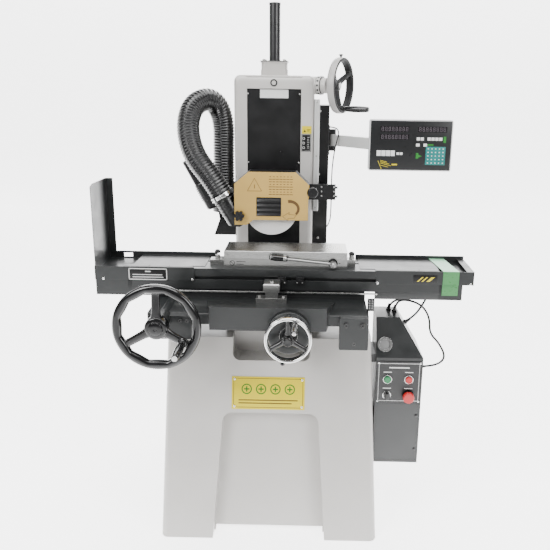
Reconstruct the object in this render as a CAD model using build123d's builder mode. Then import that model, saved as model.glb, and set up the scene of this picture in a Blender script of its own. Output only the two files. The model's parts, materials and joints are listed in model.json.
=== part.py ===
"""Manual surface grinder: base, column, saddle, table, wheel head and all their hand controls.

Millimetres. X runs along the table to the operator's right, Y away from the operator, Z up.
The origin is on the floor plane at the centre of the four levelling holes.
"""

import os
from math import cos, radians, sin

from build123d import *

os.makedirs("parts", exist_ok=True)

# ---- driving dimensions -------------------------------------------------
RUN = 0.3  # clearance between pieces that slide past each other
BORE = 0.05  # radial clearance of a shaft in its bore
SHEET = 2.0

BASE_HALF_W = 389.0
BASE_TOP_LEFT = -380.0
BASE_TOP_RIGHT = 361.0
BASE_FRONT = -450.0
BASE_TOP_FRONT = -255.0
BASE_BACK = 450.0
BASE_TOP = 702.0
CAST = 14.0
HOLE_X = 330.0
HOLE_Y = 390.0
HOLE_R = 9.0

COLUMN_X = -18.0
COLUMN_HALF_W = 160.0
COLUMN_FRONT = 200.0
COLUMN_BACK = 430.0
COLUMN_TOP = 1622.0
WINDOW_HALF_W = 107.0
WINDOW_TOP = 1570.0

WAY_X = 150.0
WAY_TOP = 778.0
SADDLE_TOP = 850.0
SADDLE_BACK = -5.0

CHUCK_X = 45.0
CHUCK_LENGTH = 450.0
CHUCK_DEPTH = 150.0
CHUCK_FRONT = -161.0
CHUCK_TOP = 1000.0
TABLE_TOP = 940.0
TABLE_BOTTOM = 862.0
TABLE_FRONT = -190.0
TABLE_BACK = -4.0
TABLE_HALF_L = 560.0

WHEEL_Z = 1125.0
WHEEL_R = 101.5
WHEEL_FRONT = 18.0
WHEEL_WIDTH = 25.0
GUARD_FRONT = -5.0
GUARD_BACK = 66.0

TABLE_WHEEL = (-365.0, -467.0, 814.0)
TABLE_WHEEL_R = 147.0
CROSS_WHEEL = (66.0, -472.0, 780.0)
CROSS_WHEEL_R = 79.5

SCREW_X = -22.0
SCREW_Y = 318.0
HORN_Z = 1585.0
HORN_AZIMUTH = 24.5  # degrees the horn points forward of the X axis
ELEV_R = 107.0
ELEV_FACE = 307.0  # distance of the wheel's front face along the horn axis

HOSE_D = 88.0


horn_axis = (cos(radians(HORN_AZIMUTH)), -sin(radians(HORN_AZIMUTH)), 0)


def horn_point(distance, z_off=0.0):
    """A point on the horn axis, measured from the elevating screw."""
    x = SCREW_X + distance * horn_axis[0]
    y = SCREW_Y + distance * horn_axis[1]
    return (x, y, HORN_Z + z_off)


def plane_at(origin, axis, x_dir=None):
    """A sketch plane with its normal along axis."""
    if x_dir is None:
        return Plane(origin=origin, z_dir=axis)
    return Plane(origin=origin, x_dir=x_dir, z_dir=axis)


def bar(low, high):
    """A plain block between two opposite corners, kept private for adding or cutting."""
    size = [b - a for a, b in zip(low, high)]
    centre = [(a + b) / 2 for a, b in zip(low, high)]
    return Location(tuple(centre)) * Box(*size, mode=Mode.PRIVATE)


def rod(start, axis, length, radius):
    """A plain cylinder from a start point along an axis, kept private."""
    plane = plane_at(start, axis)
    return plane.location * Cylinder(
        radius, length, align=(Align.CENTER, Align.CENTER, Align.MIN), mode=Mode.PRIVATE
    )


def ring(start, axis, length, outer, inner):
    """A plain tube from a start point along an axis, kept private."""
    return rod(start, axis, length, outer) - rod(start, axis, length, inner)


def write(name, part):
    """Labels one piece and writes it as its own file."""
    part.label = name
    export_step(part, f"parts/{name}.step")


FRONT = (0, -1, 0)
BACK = (0, 1, 0)
UP = (0, 0, 1)
DOWN = (0, 0, -1)
RIGHT = (1, 0, 0)

# ---- base casting -------------------------------------------------------
LEAN = Plane(
    origin=(0, BASE_FRONT, 0),
    x_dir=(1, 0, 0),
    z_dir=(0, -BASE_TOP, BASE_TOP_FRONT - BASE_FRONT),
)
ARCH_DEPTH = 46.0
ARCH_TOP = 456.0
ARCH_HALF_TOP = 172.0
ARCH_HALF_BOTTOM = 204.0
POCKET_HALF_W = 140.0
POCKET_FLOOR = 622.0
POCKET_BACK = -188.0


def arch_prism(grow, depth):
    """The knee recess of the front face, grown outward by a wall for the hollow."""
    with BuildPart() as prism:
        with BuildSketch(LEAN.offset(30)):
            Polygon(
                (-ARCH_HALF_BOTTOM - grow, -40),
                (-ARCH_HALF_TOP - grow, ARCH_TOP + grow),
                (ARCH_HALF_TOP + grow, ARCH_TOP + grow),
                (ARCH_HALF_BOTTOM + grow, -40),
                align=None,
            )
        extrude(amount=-30 - depth - grow)
        top_edges = prism.edges().filter_by(lambda e: abs(e.tangent_at(0.5).X) < 0.2)
        top_edges = [e for e in top_edges if e.center().Z > ARCH_TOP * 0.8]
        top_edges = [e for e in top_edges if abs((e @ 1 - e @ 0).Y) > 20]
        fillet(top_edges, 38)
    return prism.part


def pocket_prism(grow):
    """The hand pocket behind the cross-feed wheel, open upward."""
    with BuildPart() as prism:
        with BuildSketch(Plane.XZ.offset(520)):
            with Locations((0, (POCKET_FLOOR - grow + 900) / 2)):
                Rectangle(2 * (POCKET_HALF_W + grow), 900 - POCKET_FLOOR + grow)
        extrude(amount=-520 + (-POCKET_BACK) - grow)
        low = [e for e in prism.edges().filter_by(Axis.Y) if e.center().Z < POCKET_FLOOR + 1]
        fillet(low, 26)
    return prism.part


with BuildPart() as base_void:
    with BuildSketch(Plane.XY.offset(-1)):
        with Locations((0, 0)):
            Rectangle(2 * (BASE_HALF_W - CAST), BASE_BACK - BASE_FRONT - 2 * CAST)
    with BuildSketch(Plane.XY.offset(BASE_TOP - 18)):
        depth = BASE_BACK - BASE_TOP_FRONT - 2 * CAST
        with Locations(((BASE_TOP_LEFT + BASE_TOP_RIGHT) / 2, (BASE_BACK + BASE_TOP_FRONT) / 2)):
            Rectangle(BASE_TOP_RIGHT - BASE_TOP_LEFT - 2 * CAST, depth)
    loft()
    add(arch_prism(CAST, ARCH_DEPTH), mode=Mode.SUBTRACT)
    add(pocket_prism(CAST), mode=Mode.SUBTRACT)
    for side in (-1, 1):
        for end in (-1, 1):
            low = (min(side * 270, side * 392), min(end * 335, end * 452), -2)
            high = (max(side * 270, side * 392), max(end * 335, end * 452), 24)
            add(bar(low, high), mode=Mode.SUBTRACT)

with BuildPart() as base_casting:
    with BuildSketch(Plane.XY):
        Rectangle(2 * BASE_HALF_W, BASE_BACK - BASE_FRONT)
    with BuildSketch(Plane.XY.offset(BASE_TOP)):
        with Locations(((BASE_TOP_LEFT + BASE_TOP_RIGHT) / 2, (BASE_BACK + BASE_TOP_FRONT) / 2)):
            Rectangle(BASE_TOP_RIGHT - BASE_TOP_LEFT, BASE_BACK - BASE_TOP_FRONT)
    loft()
    corners = [e for e in base_casting.edges() if e.length > 600 and abs((e @ 1 - e @ 0).Z) > 500]
    fillet(corners, 26)
    add(arch_prism(0, ARCH_DEPTH), mode=Mode.SUBTRACT)
    add(pocket_prism(0), mode=Mode.SUBTRACT)
    add(base_void.part, mode=Mode.SUBTRACT)
    add(bar((-196, -470, -1), (196, -340, 20)), mode=Mode.SUBTRACT)
    for side in (-1, 1):
        x = side * WAY_X
        add(bar((x - 24, POCKET_BACK + 16, BASE_TOP - 4), (x + 24, 188, WAY_TOP)))
        for end in (-1, 1):
            add(rod((side * HOLE_X, end * HOLE_Y, -5), UP, 60, HOLE_R), mode=Mode.SUBTRACT)
    add(bar((44, -120, BASE_TOP - 4), (88, -84, 802)))
    add(rod((CROSS_WHEEL[0], -130, CROSS_WHEEL[2]), BACK, 60, 10 + RUN), mode=Mode.SUBTRACT)
write("base_casting", base_casting.part)

# ---- column -------------------------------------------------------------
with BuildPart() as column_casting:
    add(
        bar(
            (COLUMN_X - COLUMN_HALF_W, COLUMN_FRONT, BASE_TOP),
            (COLUMN_X + COLUMN_HALF_W, COLUMN_BACK, COLUMN_TOP),
        )
    )
    fillet(column_casting.edges().filter_by(Axis.Z), 22)
    fillet(column_casting.faces().sort_by(Axis.Z)[-1].edges(), 26)
    add(
        bar(
            (COLUMN_X - COLUMN_HALF_W + 16, COLUMN_FRONT + 16, BASE_TOP - 1),
            (COLUMN_X + COLUMN_HALF_W - 16, COLUMN_BACK - 14, COLUMN_TOP - 16),
        ),
        mode=Mode.SUBTRACT,
    )
    # front window for the wheel head, its cover plate slides out through the slit above
    add(
        bar(
            (COLUMN_X - WINDOW_HALF_W, COLUMN_FRONT - 5, 790),
            (COLUMN_X + WINDOW_HALF_W, COLUMN_FRONT + 20, WINDOW_TOP),
        ),
        mode=Mode.SUBTRACT,
    )
    add(
        bar(
            (COLUMN_X - WINDOW_HALF_W - 3, COLUMN_FRONT + 6, 768),
            (COLUMN_X + WINDOW_HALF_W + 3, COLUMN_FRONT + 11, COLUMN_TOP + 5),
        ),
        mode=Mode.SUBTRACT,
    )
    add(bar((COLUMN_X - 185, COLUMN_FRONT + 20, BASE_TOP), (COLUMN_X - 158, COLUMN_BACK, BASE_TOP + 26)))
    add(bar((COLUMN_X + 158, COLUMN_FRONT + 20, BASE_TOP), (COLUMN_X + 185, COLUMN_BACK, BASE_TOP + 26)))
    for side in (-1, 1):
        x = COLUMN_X + side * 118
        add(bar((x - 12, COLUMN_FRONT + 40, 760), (x + 12, COLUMN_FRONT + 66, 1560)))
        reach = sorted((x, COLUMN_X + side * 146))
        add(bar((reach[0], COLUMN_FRONT + 44, 760), (reach[1], COLUMN_FRONT + 62, 1560)))
    add(rod((-22, SCREW_Y, COLUMN_TOP - 30), UP, 60, 24), mode=Mode.SUBTRACT)
    add(rod(horn_point(138), horn_axis, 90, 34.8), mode=Mode.SUBTRACT)
write("column_casting", column_casting.part)

with BuildPart() as column_cap:
    add(bar((-76, SCREW_Y - 52, COLUMN_TOP), (32, SCREW_Y + 52, COLUMN_TOP + 22)))
    add(bar((-74, SCREW_Y - 50, COLUMN_TOP + 22), (30, SCREW_Y + 50, COLUMN_TOP + 48)))
    fillet(column_cap.edges().filter_by(Axis.Z), 18)
    add(bar((-76, SCREW_Y - 52, COLUMN_TOP + 48), (32, SCREW_Y + 52, COLUMN_TOP + 53)))
    for side in (-1, 1):
        for end in (-1, 1):
            add(rod((-22 + side * 41, SCREW_Y + end * 40, COLUMN_TOP + 53), UP, 8, 6.5))
    add(rod((-22, SCREW_Y, COLUMN_TOP - 1), UP, 80, 22.3), mode=Mode.SUBTRACT)
write("column_cap", column_cap.part)

with BuildPart() as screw_tube:
    add(rod((-22, SCREW_Y, COLUMN_TOP + 20), UP, 258, 22.2))
    fillet(screw_tube.faces().sort_by(Axis.Z)[-1].edges(), 3)
    add(rod((-22, SCREW_Y, COLUMN_TOP + 19), UP, 250, 19.5), mode=Mode.SUBTRACT)
write("screw_tube", screw_tube.part)


with BuildPart() as horn_housing:
    add(rod(horn_point(146), horn_axis, 68, 34.8))
    add(rod(horn_point(214), horn_axis, 22, 30))
    fillet(horn_housing.edges().filter_by(GeomType.CIRCLE).sort_by(lambda e: -(e.center().X))[0], 2)
    add(rod(horn_point(156), horn_axis, 60, 27), mode=Mode.SUBTRACT)
    add(rod(horn_point(100), horn_axis, 190, 12.0 + BORE), mode=Mode.SUBTRACT)
write("horn_housing", horn_housing.part)

with BuildPart() as linear_scale:
    add(bar((COLUMN_X + COLUMN_HALF_W, 204, 1085), (COLUMN_X + COLUMN_HALF_W + 22, 236, 1532)))
    fillet(linear_scale.edges().filter_by(Axis.Z), 5)
write("linear_scale", linear_scale.part)

ARM_PIVOT = (222.0, 300.0)
ARM_Z = 1368.0
with BuildPart() as rear_cabinet:
    add(bar((COLUMN_X + COLUMN_HALF_W, 262, 930), (204, 424, 1508)))
    fillet(rear_cabinet.edges().filter_by(Axis.Z), 3)
    add(
        bar((COLUMN_X + COLUMN_HALF_W + SHEET, 264, 932), (202, 422, 1506)),
        mode=Mode.SUBTRACT,
    )
    add(bar((203.5, 280, ARM_Z - 60), (207.5, 320, ARM_Z + 60)))
    for z in (ARM_Z - 44, ARM_Z + 24 + RUN):
        add(bar((206, 288, z), (ARM_PIVOT[0], 312, z + 20 - RUN)))
        add(rod((ARM_PIVOT[0], ARM_PIVOT[1], z), UP, 20 - RUN, 12))
    add(rod((ARM_PIVOT[0], ARM_PIVOT[1], ARM_Z - 44), UP, 88, 6))
write("rear_cabinet", rear_cabinet.part)

# ---- control box --------------------------------------------------------
BOX_LEFT = 383.0
BUTTON_X = (426.0, 504.5)
BUTTON_Z = (547.0, 483.0)
BOX_RIGHT = 554.0
BOX_FRONT = -250.0
BOX_BACK = -60.0
BOX_BOTTOM = 203.0
BOX_FOLD = 630.0
BOX_TOP = 764.0
with BuildPart() as control_box:
    with BuildSketch(Plane.XY.offset(BOX_BOTTOM)):
        with Locations(((BOX_LEFT + BOX_RIGHT) / 2, (BOX_FRONT + BOX_BACK) / 2)):
            Rectangle(BOX_RIGHT - BOX_LEFT, BOX_BACK - BOX_FRONT)
    extrude(amount=BOX_FOLD - BOX_BOTTOM)
    with BuildSketch(Plane.XY.offset(BOX_FOLD)):
        with Locations(((BOX_LEFT + BOX_RIGHT) / 2, (BOX_FRONT + BOX_BACK) / 2)):
            Rectangle(BOX_RIGHT - BOX_LEFT, BOX_BACK - BOX_FRONT)
    with BuildSketch(Plane.XY.offset(BOX_TOP)):
        with Locations(((BOX_LEFT + 470) / 2, (-182 + BOX_BACK) / 2)):
            Rectangle(470 - BOX_LEFT, BOX_BACK + 182)
    loft()
    offset(amount=-SHEET, kind=Kind.INTERSECTION, mode=Mode.SUBTRACT)
    for x in BUTTON_X:
        for z in BUTTON_Z:
            add(rod((x, BOX_FRONT - 10, z), BACK, 20, 8.0), mode=Mode.SUBTRACT)
    for z in (330, 600):
        add(bar((BOX_LEFT - 26, -220, z), (BOX_LEFT, -90, z + 30)))
    add(base_casting.part, mode=Mode.SUBTRACT)
write("control_box", control_box.part)

with BuildPart() as control_panel:
    with BuildSketch(Plane.XZ.offset(-BOX_FRONT)):
        with Locations((468, 535)):
            RectangleRounded(165, 164, 5)
    extrude(amount=3)
    for x in BUTTON_X:
        for z in BUTTON_Z:
            add(rod((x, BOX_FRONT - 10, z), BACK, 20, 8.0), mode=Mode.SUBTRACT)
write("control_panel", control_panel.part)

SLOPE_N = Vector(0, -(BOX_TOP - BOX_FOLD), -182 - BOX_FRONT).normalized()
ring_mid = (413.0, BOX_FRONT + 68 * 0.32, BOX_FOLD + 134 * 0.32)
with BuildPart() as conduit_ring:
    add(ring(ring_mid, tuple(SLOPE_N), 10, 27, 19))
    add(rod(ring_mid, tuple(SLOPE_N), 4, 19.5))
    fillet(conduit_ring.edges().filter_by(GeomType.CIRCLE).sort_by(lambda e: -e.radius)[0], 3)
write("conduit_ring", conduit_ring.part)

BUTTON_FACE = BOX_FRONT - 3.0


def push_button(x, z, cap_r, length, flange):
    """A push-button cap with a stem through the panel, moving along Y."""
    with BuildPart() as button:
        add(rod((x, BUTTON_FACE - flange, z), FRONT, length, cap_r))
        fillet(button.faces().sort_by(Axis.Y)[0].edges(), min(2.0, length * 0.3))
        add(rod((x, BUTTON_FACE - flange, z), BACK, flange + 14, 7.0))
    return button.part


write("start_button", push_button(BUTTON_X[0], BUTTON_Z[0], 13.0, 6.0, 5.0))
write("stop_button", push_button(BUTTON_X[1], BUTTON_Z[0], 13.0, 6.0, 5.0))

with BuildPart() as emergency_stop:
    add(rod((BUTTON_X[1], BUTTON_FACE - 14, BUTTON_Z[1]), FRONT, 14, 21))
    fillet(emergency_stop.faces().sort_by(Axis.Y)[0].edges(), 5)
    add(rod((BUTTON_X[1], BUTTON_FACE - 14, BUTTON_Z[1]), BACK, 14 + 14, 7.0))
write("emergency_stop", emergency_stop.part)

with BuildPart() as mode_selector:
    add(rod((BUTTON_X[0], BUTTON_FACE - 1, BUTTON_Z[1]), FRONT, 8, 13))
    low = (BUTTON_X[0] - 4, BUTTON_FACE - 19, BUTTON_Z[1] - 12)
    add(bar(low, (BUTTON_X[0] + 4, BUTTON_FACE - 9, BUTTON_Z[1] + 12)))
    add(rod((BUTTON_X[0], BUTTON_FACE - 1, BUTTON_Z[1]), BACK, 15, 7.0))
write("mode_selector", mode_selector.part)

# ---- wheel head, guided inside the column ------------------------------
HEAD_LOW = 985.0
HEAD_HIGH = 1300.0
NECK_R = 58.0
with BuildPart() as head_slide:
    add(bar((COLUMN_X - 105.7, 219, HEAD_LOW), (COLUMN_X + 105.7, 288, HEAD_HIGH)))
    for side in (-1, 1):
        reach = sorted((COLUMN_X + side * 100, COLUMN_X + side * 129))
        add(bar((reach[0], 266 + RUN, HEAD_LOW), (reach[1], 284, HEAD_HIGH)))
        add(bar((reach[0], 219, HEAD_LOW), (reach[1], 240 - RUN, HEAD_HIGH)))
    add(bar((SCREW_X - 28, 286, 1236), (SCREW_X + 28, SCREW_Y + 24, 1280)))
    add(rod((SCREW_X, SCREW_Y, 1200), UP, 100, 12), mode=Mode.SUBTRACT)
    add(rod((COLUMN_X, 238, WHEEL_Z), BACK, 80, 62), mode=Mode.SUBTRACT)
    add(rod((COLUMN_X, 200, WHEEL_Z), BACK, 80, 22), mode=Mode.SUBTRACT)
write("head_slide", head_slide.part)

with BuildPart() as lifting_screw:
    add(rod((SCREW_X, SCREW_Y, 1210), UP, 430, 12))
    chamfer(lifting_screw.faces().sort_by(Axis.Z)[-1].edges(), 2)
write("lifting_screw", lifting_screw.part)

with BuildPart() as elevating_nut:
    add(rod((SCREW_X, SCREW_Y, 1552), UP, 12, 50))
    add(rod((SCREW_X, SCREW_Y, 1562), UP, 40, 20))
    add(rod((SCREW_X, SCREW_Y, 1600), UP, 21, 24 - BORE))
    add(rod((SCREW_X, SCREW_Y, 1550), UP, 80, 12 + RUN), mode=Mode.SUBTRACT)
write("elevating_nut", elevating_nut.part)

with BuildPart() as spindle_housing:
    add(rod((COLUMN_X, GUARD_BACK, WHEEL_Z), BACK, 219 - GUARD_BACK, NECK_R))
    add(rod((COLUMN_X, GUARD_BACK + 2, WHEEL_Z), BACK, 14, NECK_R + 8))
    fillet(spindle_housing.edges().filter_by(GeomType.CIRCLE).filter_by(lambda e: e.radius > 60), 3)
    add(rod((COLUMN_X, GUARD_BACK + 24, WHEEL_Z), BACK, 96, 46), mode=Mode.SUBTRACT)
    add(rod((COLUMN_X, 0, WHEEL_Z), BACK, 260, 20 + BORE), mode=Mode.SUBTRACT)
write("spindle_housing", spindle_housing.part)

with BuildPart() as way_cover:
    add(bar((COLUMN_X - 109.5, 206.4, 800), (COLUMN_X + 109.5, 209.4, WINDOW_TOP - 1)))
    add(rod((COLUMN_X, 200, WHEEL_Z), BACK, 20, NECK_R), mode=Mode.SUBTRACT)
write("way_cover", way_cover.part)

GUARD_OUTLINE = (
    (-157, 1066),
    (-112, 1066),
    (-85, 1086),
    (124, 1086),
    (124, 1168),
    (127, 1178),
    (127, 1221),
    (76, 1269),
    (-103, 1269),
    (-157, 1223),
)
KNOB_LEFT = (-138.0, 1103.0)
KNOB_RIGHT = (141.0, 1193.0)
SPIGOT_FROM = (-140.0, 30.0, 1056.0)
SPIGOT_AXIS = (-0.5, 0.0, 0.8660254)
SPIGOT_R = 38.0


def along(start, axis, distance):
    """A point at a distance from a start along a unit axis."""
    return tuple(a + distance * b for a, b in zip(start, axis))


def guard_prism(front, depth, grow):
    """The guard outline extruded backward, grown outward by a wall."""
    with BuildPart() as prism:
        with BuildSketch(Plane.XZ.offset(-front)):
            Polygon(*GUARD_OUTLINE, align=None)
            if grow:
                offset(amount=grow, kind=Kind.INTERSECTION)
        extrude(amount=-depth)
    return prism.part


with BuildPart() as guard_body:
    add(guard_prism(GUARD_FRONT, GUARD_BACK - GUARD_FRONT, 0))
    add(guard_prism(GUARD_FRONT - 1, GUARD_BACK - GUARD_FRONT - 4, -4), mode=Mode.SUBTRACT)
    add(bar((COLUMN_X - 101, -20, 1050), (COLUMN_X + 101, GUARD_BACK - 4, 1092)), mode=Mode.SUBTRACT)
    add(rod((COLUMN_X, 0, WHEEL_Z), BACK, 100, 24), mode=Mode.SUBTRACT)
    add(rod(SPIGOT_FROM, SPIGOT_AXIS, 120, SPIGOT_R - 4), mode=Mode.SUBTRACT)
    add(rod((KNOB_LEFT[0], GUARD_FRONT, KNOB_LEFT[1]), BACK, GUARD_BACK - GUARD_FRONT, 9))
    add(rod((KNOB_RIGHT[0], GUARD_FRONT - 2, KNOB_RIGHT[1]), BACK, 15, 21), mode=Mode.SUBTRACT)
    add(bar((123, 10, 1180), (151, 30, 1206)))
    add(rod((KNOB_RIGHT[0], -6, KNOB_RIGHT[1]), BACK, 20, 5))
    add(rod((KNOB_LEFT[0], -22, KNOB_LEFT[1]), BACK, 24, 5))
write("guard_body", guard_body.part)

with BuildPart() as guard_cover:
    add(guard_prism(GUARD_FRONT - 3, 3, 0))
    add(bar((-73, -20, 1101), (21, 0, 1173)), mode=Mode.SUBTRACT)
    add(rod((KNOB_LEFT[0], -22, KNOB_LEFT[1]), BACK, 24, 5.5), mode=Mode.SUBTRACT)
    add(rod((KNOB_RIGHT[0], -22, KNOB_RIGHT[1]), BACK, 24, 22), mode=Mode.SUBTRACT)
write("guard_cover", guard_cover.part)

with BuildPart() as guard_knob_left:
    add(rod((KNOB_LEFT[0], -28, KNOB_LEFT[1]), BACK, 19.6, 14))
    for step in range(6):
        turn = radians(60 * step)
        lobe = (KNOB_LEFT[0] + 14 * cos(turn), -28, KNOB_LEFT[1] + 14 * sin(turn))
        add(rod(lobe, BACK, 16, 6.5))
    add(rod((KNOB_LEFT[0], -22.5, KNOB_LEFT[1]), BACK, 24, 5 + BORE), mode=Mode.SUBTRACT)
write("guard_knob_left", guard_knob_left.part)

with BuildPart() as guard_knob_right:
    add(rod((KNOB_RIGHT[0], -13, KNOB_RIGHT[1]), BACK, 20.6, 19))
    fillet(guard_knob_right.faces().sort_by(Axis.Y)[0].edges(), 3)
    add(rod((KNOB_RIGHT[0], -6.5, KNOB_RIGHT[1]), BACK, 24, 5 + BORE), mode=Mode.SUBTRACT)
write("guard_knob_right", guard_knob_right.part)

with BuildPart() as hose_spigot:
    add(rod(SPIGOT_FROM, SPIGOT_AXIS, 145, SPIGOT_R))
    add(rod(SPIGOT_FROM, SPIGOT_AXIS, 146, SPIGOT_R - 3), mode=Mode.SUBTRACT)
    add(guard_prism(GUARD_FRONT - 40, 140, 0), mode=Mode.SUBTRACT)
    add(bar((-400, -60, 900), (400, 140, 1058)), mode=Mode.SUBTRACT)
write("hose_spigot", hose_spigot.part)

with BuildPart() as reader_bracket:
    add(bar((20, 140, 1143), (232, 152, 1205)))
    add(bar((165.5, 152, 1150), (190, 233, 1196)))
    for z in (1156, 1192):
        add(rod((232, 146, z), RIGHT, 8, 4.5))
    add(rod((COLUMN_X, 100, WHEEL_Z), BACK, 60, NECK_R), mode=Mode.SUBTRACT)
write("reader_bracket", reader_bracket.part)

# ---- spindle and wheel --------------------------------------------------
with BuildPart() as spindle_shaft:
    add(rod((COLUMN_X, 8, WHEEL_Z), BACK, 206, 20))
    chamfer(spindle_shaft.faces().sort_by(Axis.Y)[-1].edges(), 2)
write("spindle_shaft", spindle_shaft.part)

with BuildPart() as wheel_flange:
    add(rod((COLUMN_X, 12, WHEEL_Z), BACK, 6, 46))
    add(rod((COLUMN_X, 18, WHEEL_Z), BACK, 25, 31.75))
    add(rod((COLUMN_X, 43, WHEEL_Z), BACK, 9, 46))
    with BuildSketch(Plane.XZ.offset(-2)):
        with Locations((COLUMN_X, WHEEL_Z)):
            RegularPolygon(26, 6)
    extrude(amount=-10)
    add(rod((COLUMN_X, 8, WHEEL_Z), BACK, 60, 20), mode=Mode.SUBTRACT)
write("wheel_flange", wheel_flange.part)

with BuildPart() as grinding_wheel:
    add(ring((COLUMN_X, WHEEL_FRONT, WHEEL_Z), BACK, WHEEL_WIDTH, WHEEL_R, 31.75))
    fillet(grinding_wheel.edges().filter_by(lambda e: e.geom_type == GeomType.CIRCLE and e.radius > 90), 1)
write("grinding_wheel", grinding_wheel.part)

# ---- dust hose ----------------------------------------------------------
HOSE_ROUTE = (
    along(SPIGOT_FROM, SPIGOT_AXIS, 114.0),
    along(SPIGOT_FROM, SPIGOT_AXIS, 200.0),
    (-322.0, 60.0, 1322.0),
    (-352.0, 112.0, 1432.0),
    (-330.0, 170.0, 1515.0),
    (-262.0, 228.0, 1532.0),
    (-225.0, 262.0, 1450.0),
    (-230.0, 268.0, 1300.0),
    (-229.0, 266.0, 1106.0),
)


def arc_radii(route):
    """Corner radii that spend nine tenths of the shorter run at each corner."""
    radii = []
    for before, here, after in zip(route, route[1:], route[2:]):
        one = Vector(*here) - Vector(*before)
        two = Vector(*after) - Vector(*here)
        half_turn = radians(one.get_angle(two)) / 2
        radii.append(0.45 * min(one.length, two.length) / (sin(half_turn) / cos(half_turn)))
    return radii


def flexible(route, outer, inner=0.0):
    """A tube or cord swept along a route of straight runs joined by tangent arcs."""
    first = Vector(*route[1]) - Vector(*route[0])
    radii = arc_radii(route)
    print("outer radius", outer, "arc radii", [round(radius, 1) for radius in radii])
    with BuildPart() as tube:
        with BuildLine() as line:
            FilletPolyline(*route, radius=radii)
        with BuildSketch(Plane(origin=route[0], z_dir=first)):
            Circle(outer)
            if inner:
                Circle(inner, mode=Mode.SUBTRACT)
        sweep(path=line.wires()[0])
    return tube.part


write("dust_hose", flexible(HOSE_ROUTE, HOSE_D / 2, SPIGOT_R + BORE))

CLAMP_AT = along(SPIGOT_FROM, SPIGOT_AXIS, 128.0)
clamp_ring = ring(CLAMP_AT, SPIGOT_AXIS, 14, HOSE_D / 2 + 3, HOSE_D / 2)
clamp_block = plane_at(CLAMP_AT, SPIGOT_AXIS, (0.8660254, 0.0, 0.5)).location * (
    Location((0, 50, 7)) * Box(26, 11, 12, mode=Mode.PRIVATE)
)
clamp_cut = rod(along(SPIGOT_FROM, SPIGOT_AXIS, 114.0), SPIGOT_AXIS, 60, HOSE_D / 2)
write("hose_clamp", (clamp_ring + clamp_block) - clamp_cut)

BOOT = (-229.0, 266.0)
with BuildPart() as hose_boot:
    add(rod((BOOT[0], BOOT[1], 1070), UP, 76, 49))
    add(rod((BOOT[0], BOOT[1], 1076), UP, 71, 45), mode=Mode.SUBTRACT)
    with BuildSketch(Plane.XY.offset(1070)):
        with Locations((-218, BOOT[1])):
            Rectangle(66, 70)
    with BuildSketch(Plane.XY.offset(1040)):
        with Locations((-214, BOOT[1])):
            Rectangle(64, 66)
    loft()
    with BuildSketch(Plane.XY.offset(1040)):
        with Locations((-214, BOOT[1])):
            Rectangle(64, 66)
    with BuildSketch(Plane.XY.offset(976)):
        with Locations((-223, BOOT[1])):
            Rectangle(90, 96)
    loft()
    add(bar((-186, BOOT[1] - 40, 990), (COLUMN_X - COLUMN_HALF_W, BOOT[1] + 40, 1110)))
    add(rod((BOOT[0], BOOT[1], 1076), UP, 71, 45), mode=Mode.SUBTRACT)
write("hose_boot", hose_boot.part)

# ---- saddle -------------------------------------------------------------
SADDLE_LEFT = -420.0
SADDLE_RIGHT = 338.0
WING_FRONT = -365.0
WING_TOP = 828.0
UPPER_FRONT = -178.0
APRON_FRONT = -400.0
APRON_BOTTOM = 783.0
APRON_TOP = 864.0
SADDLE_LOW = 790.0
RAIL_FRONT_Y = -140.0
RAIL_BACK_Y = -50.0
RAIL_TOP = 880.0
PINION_R = 36.0

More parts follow.
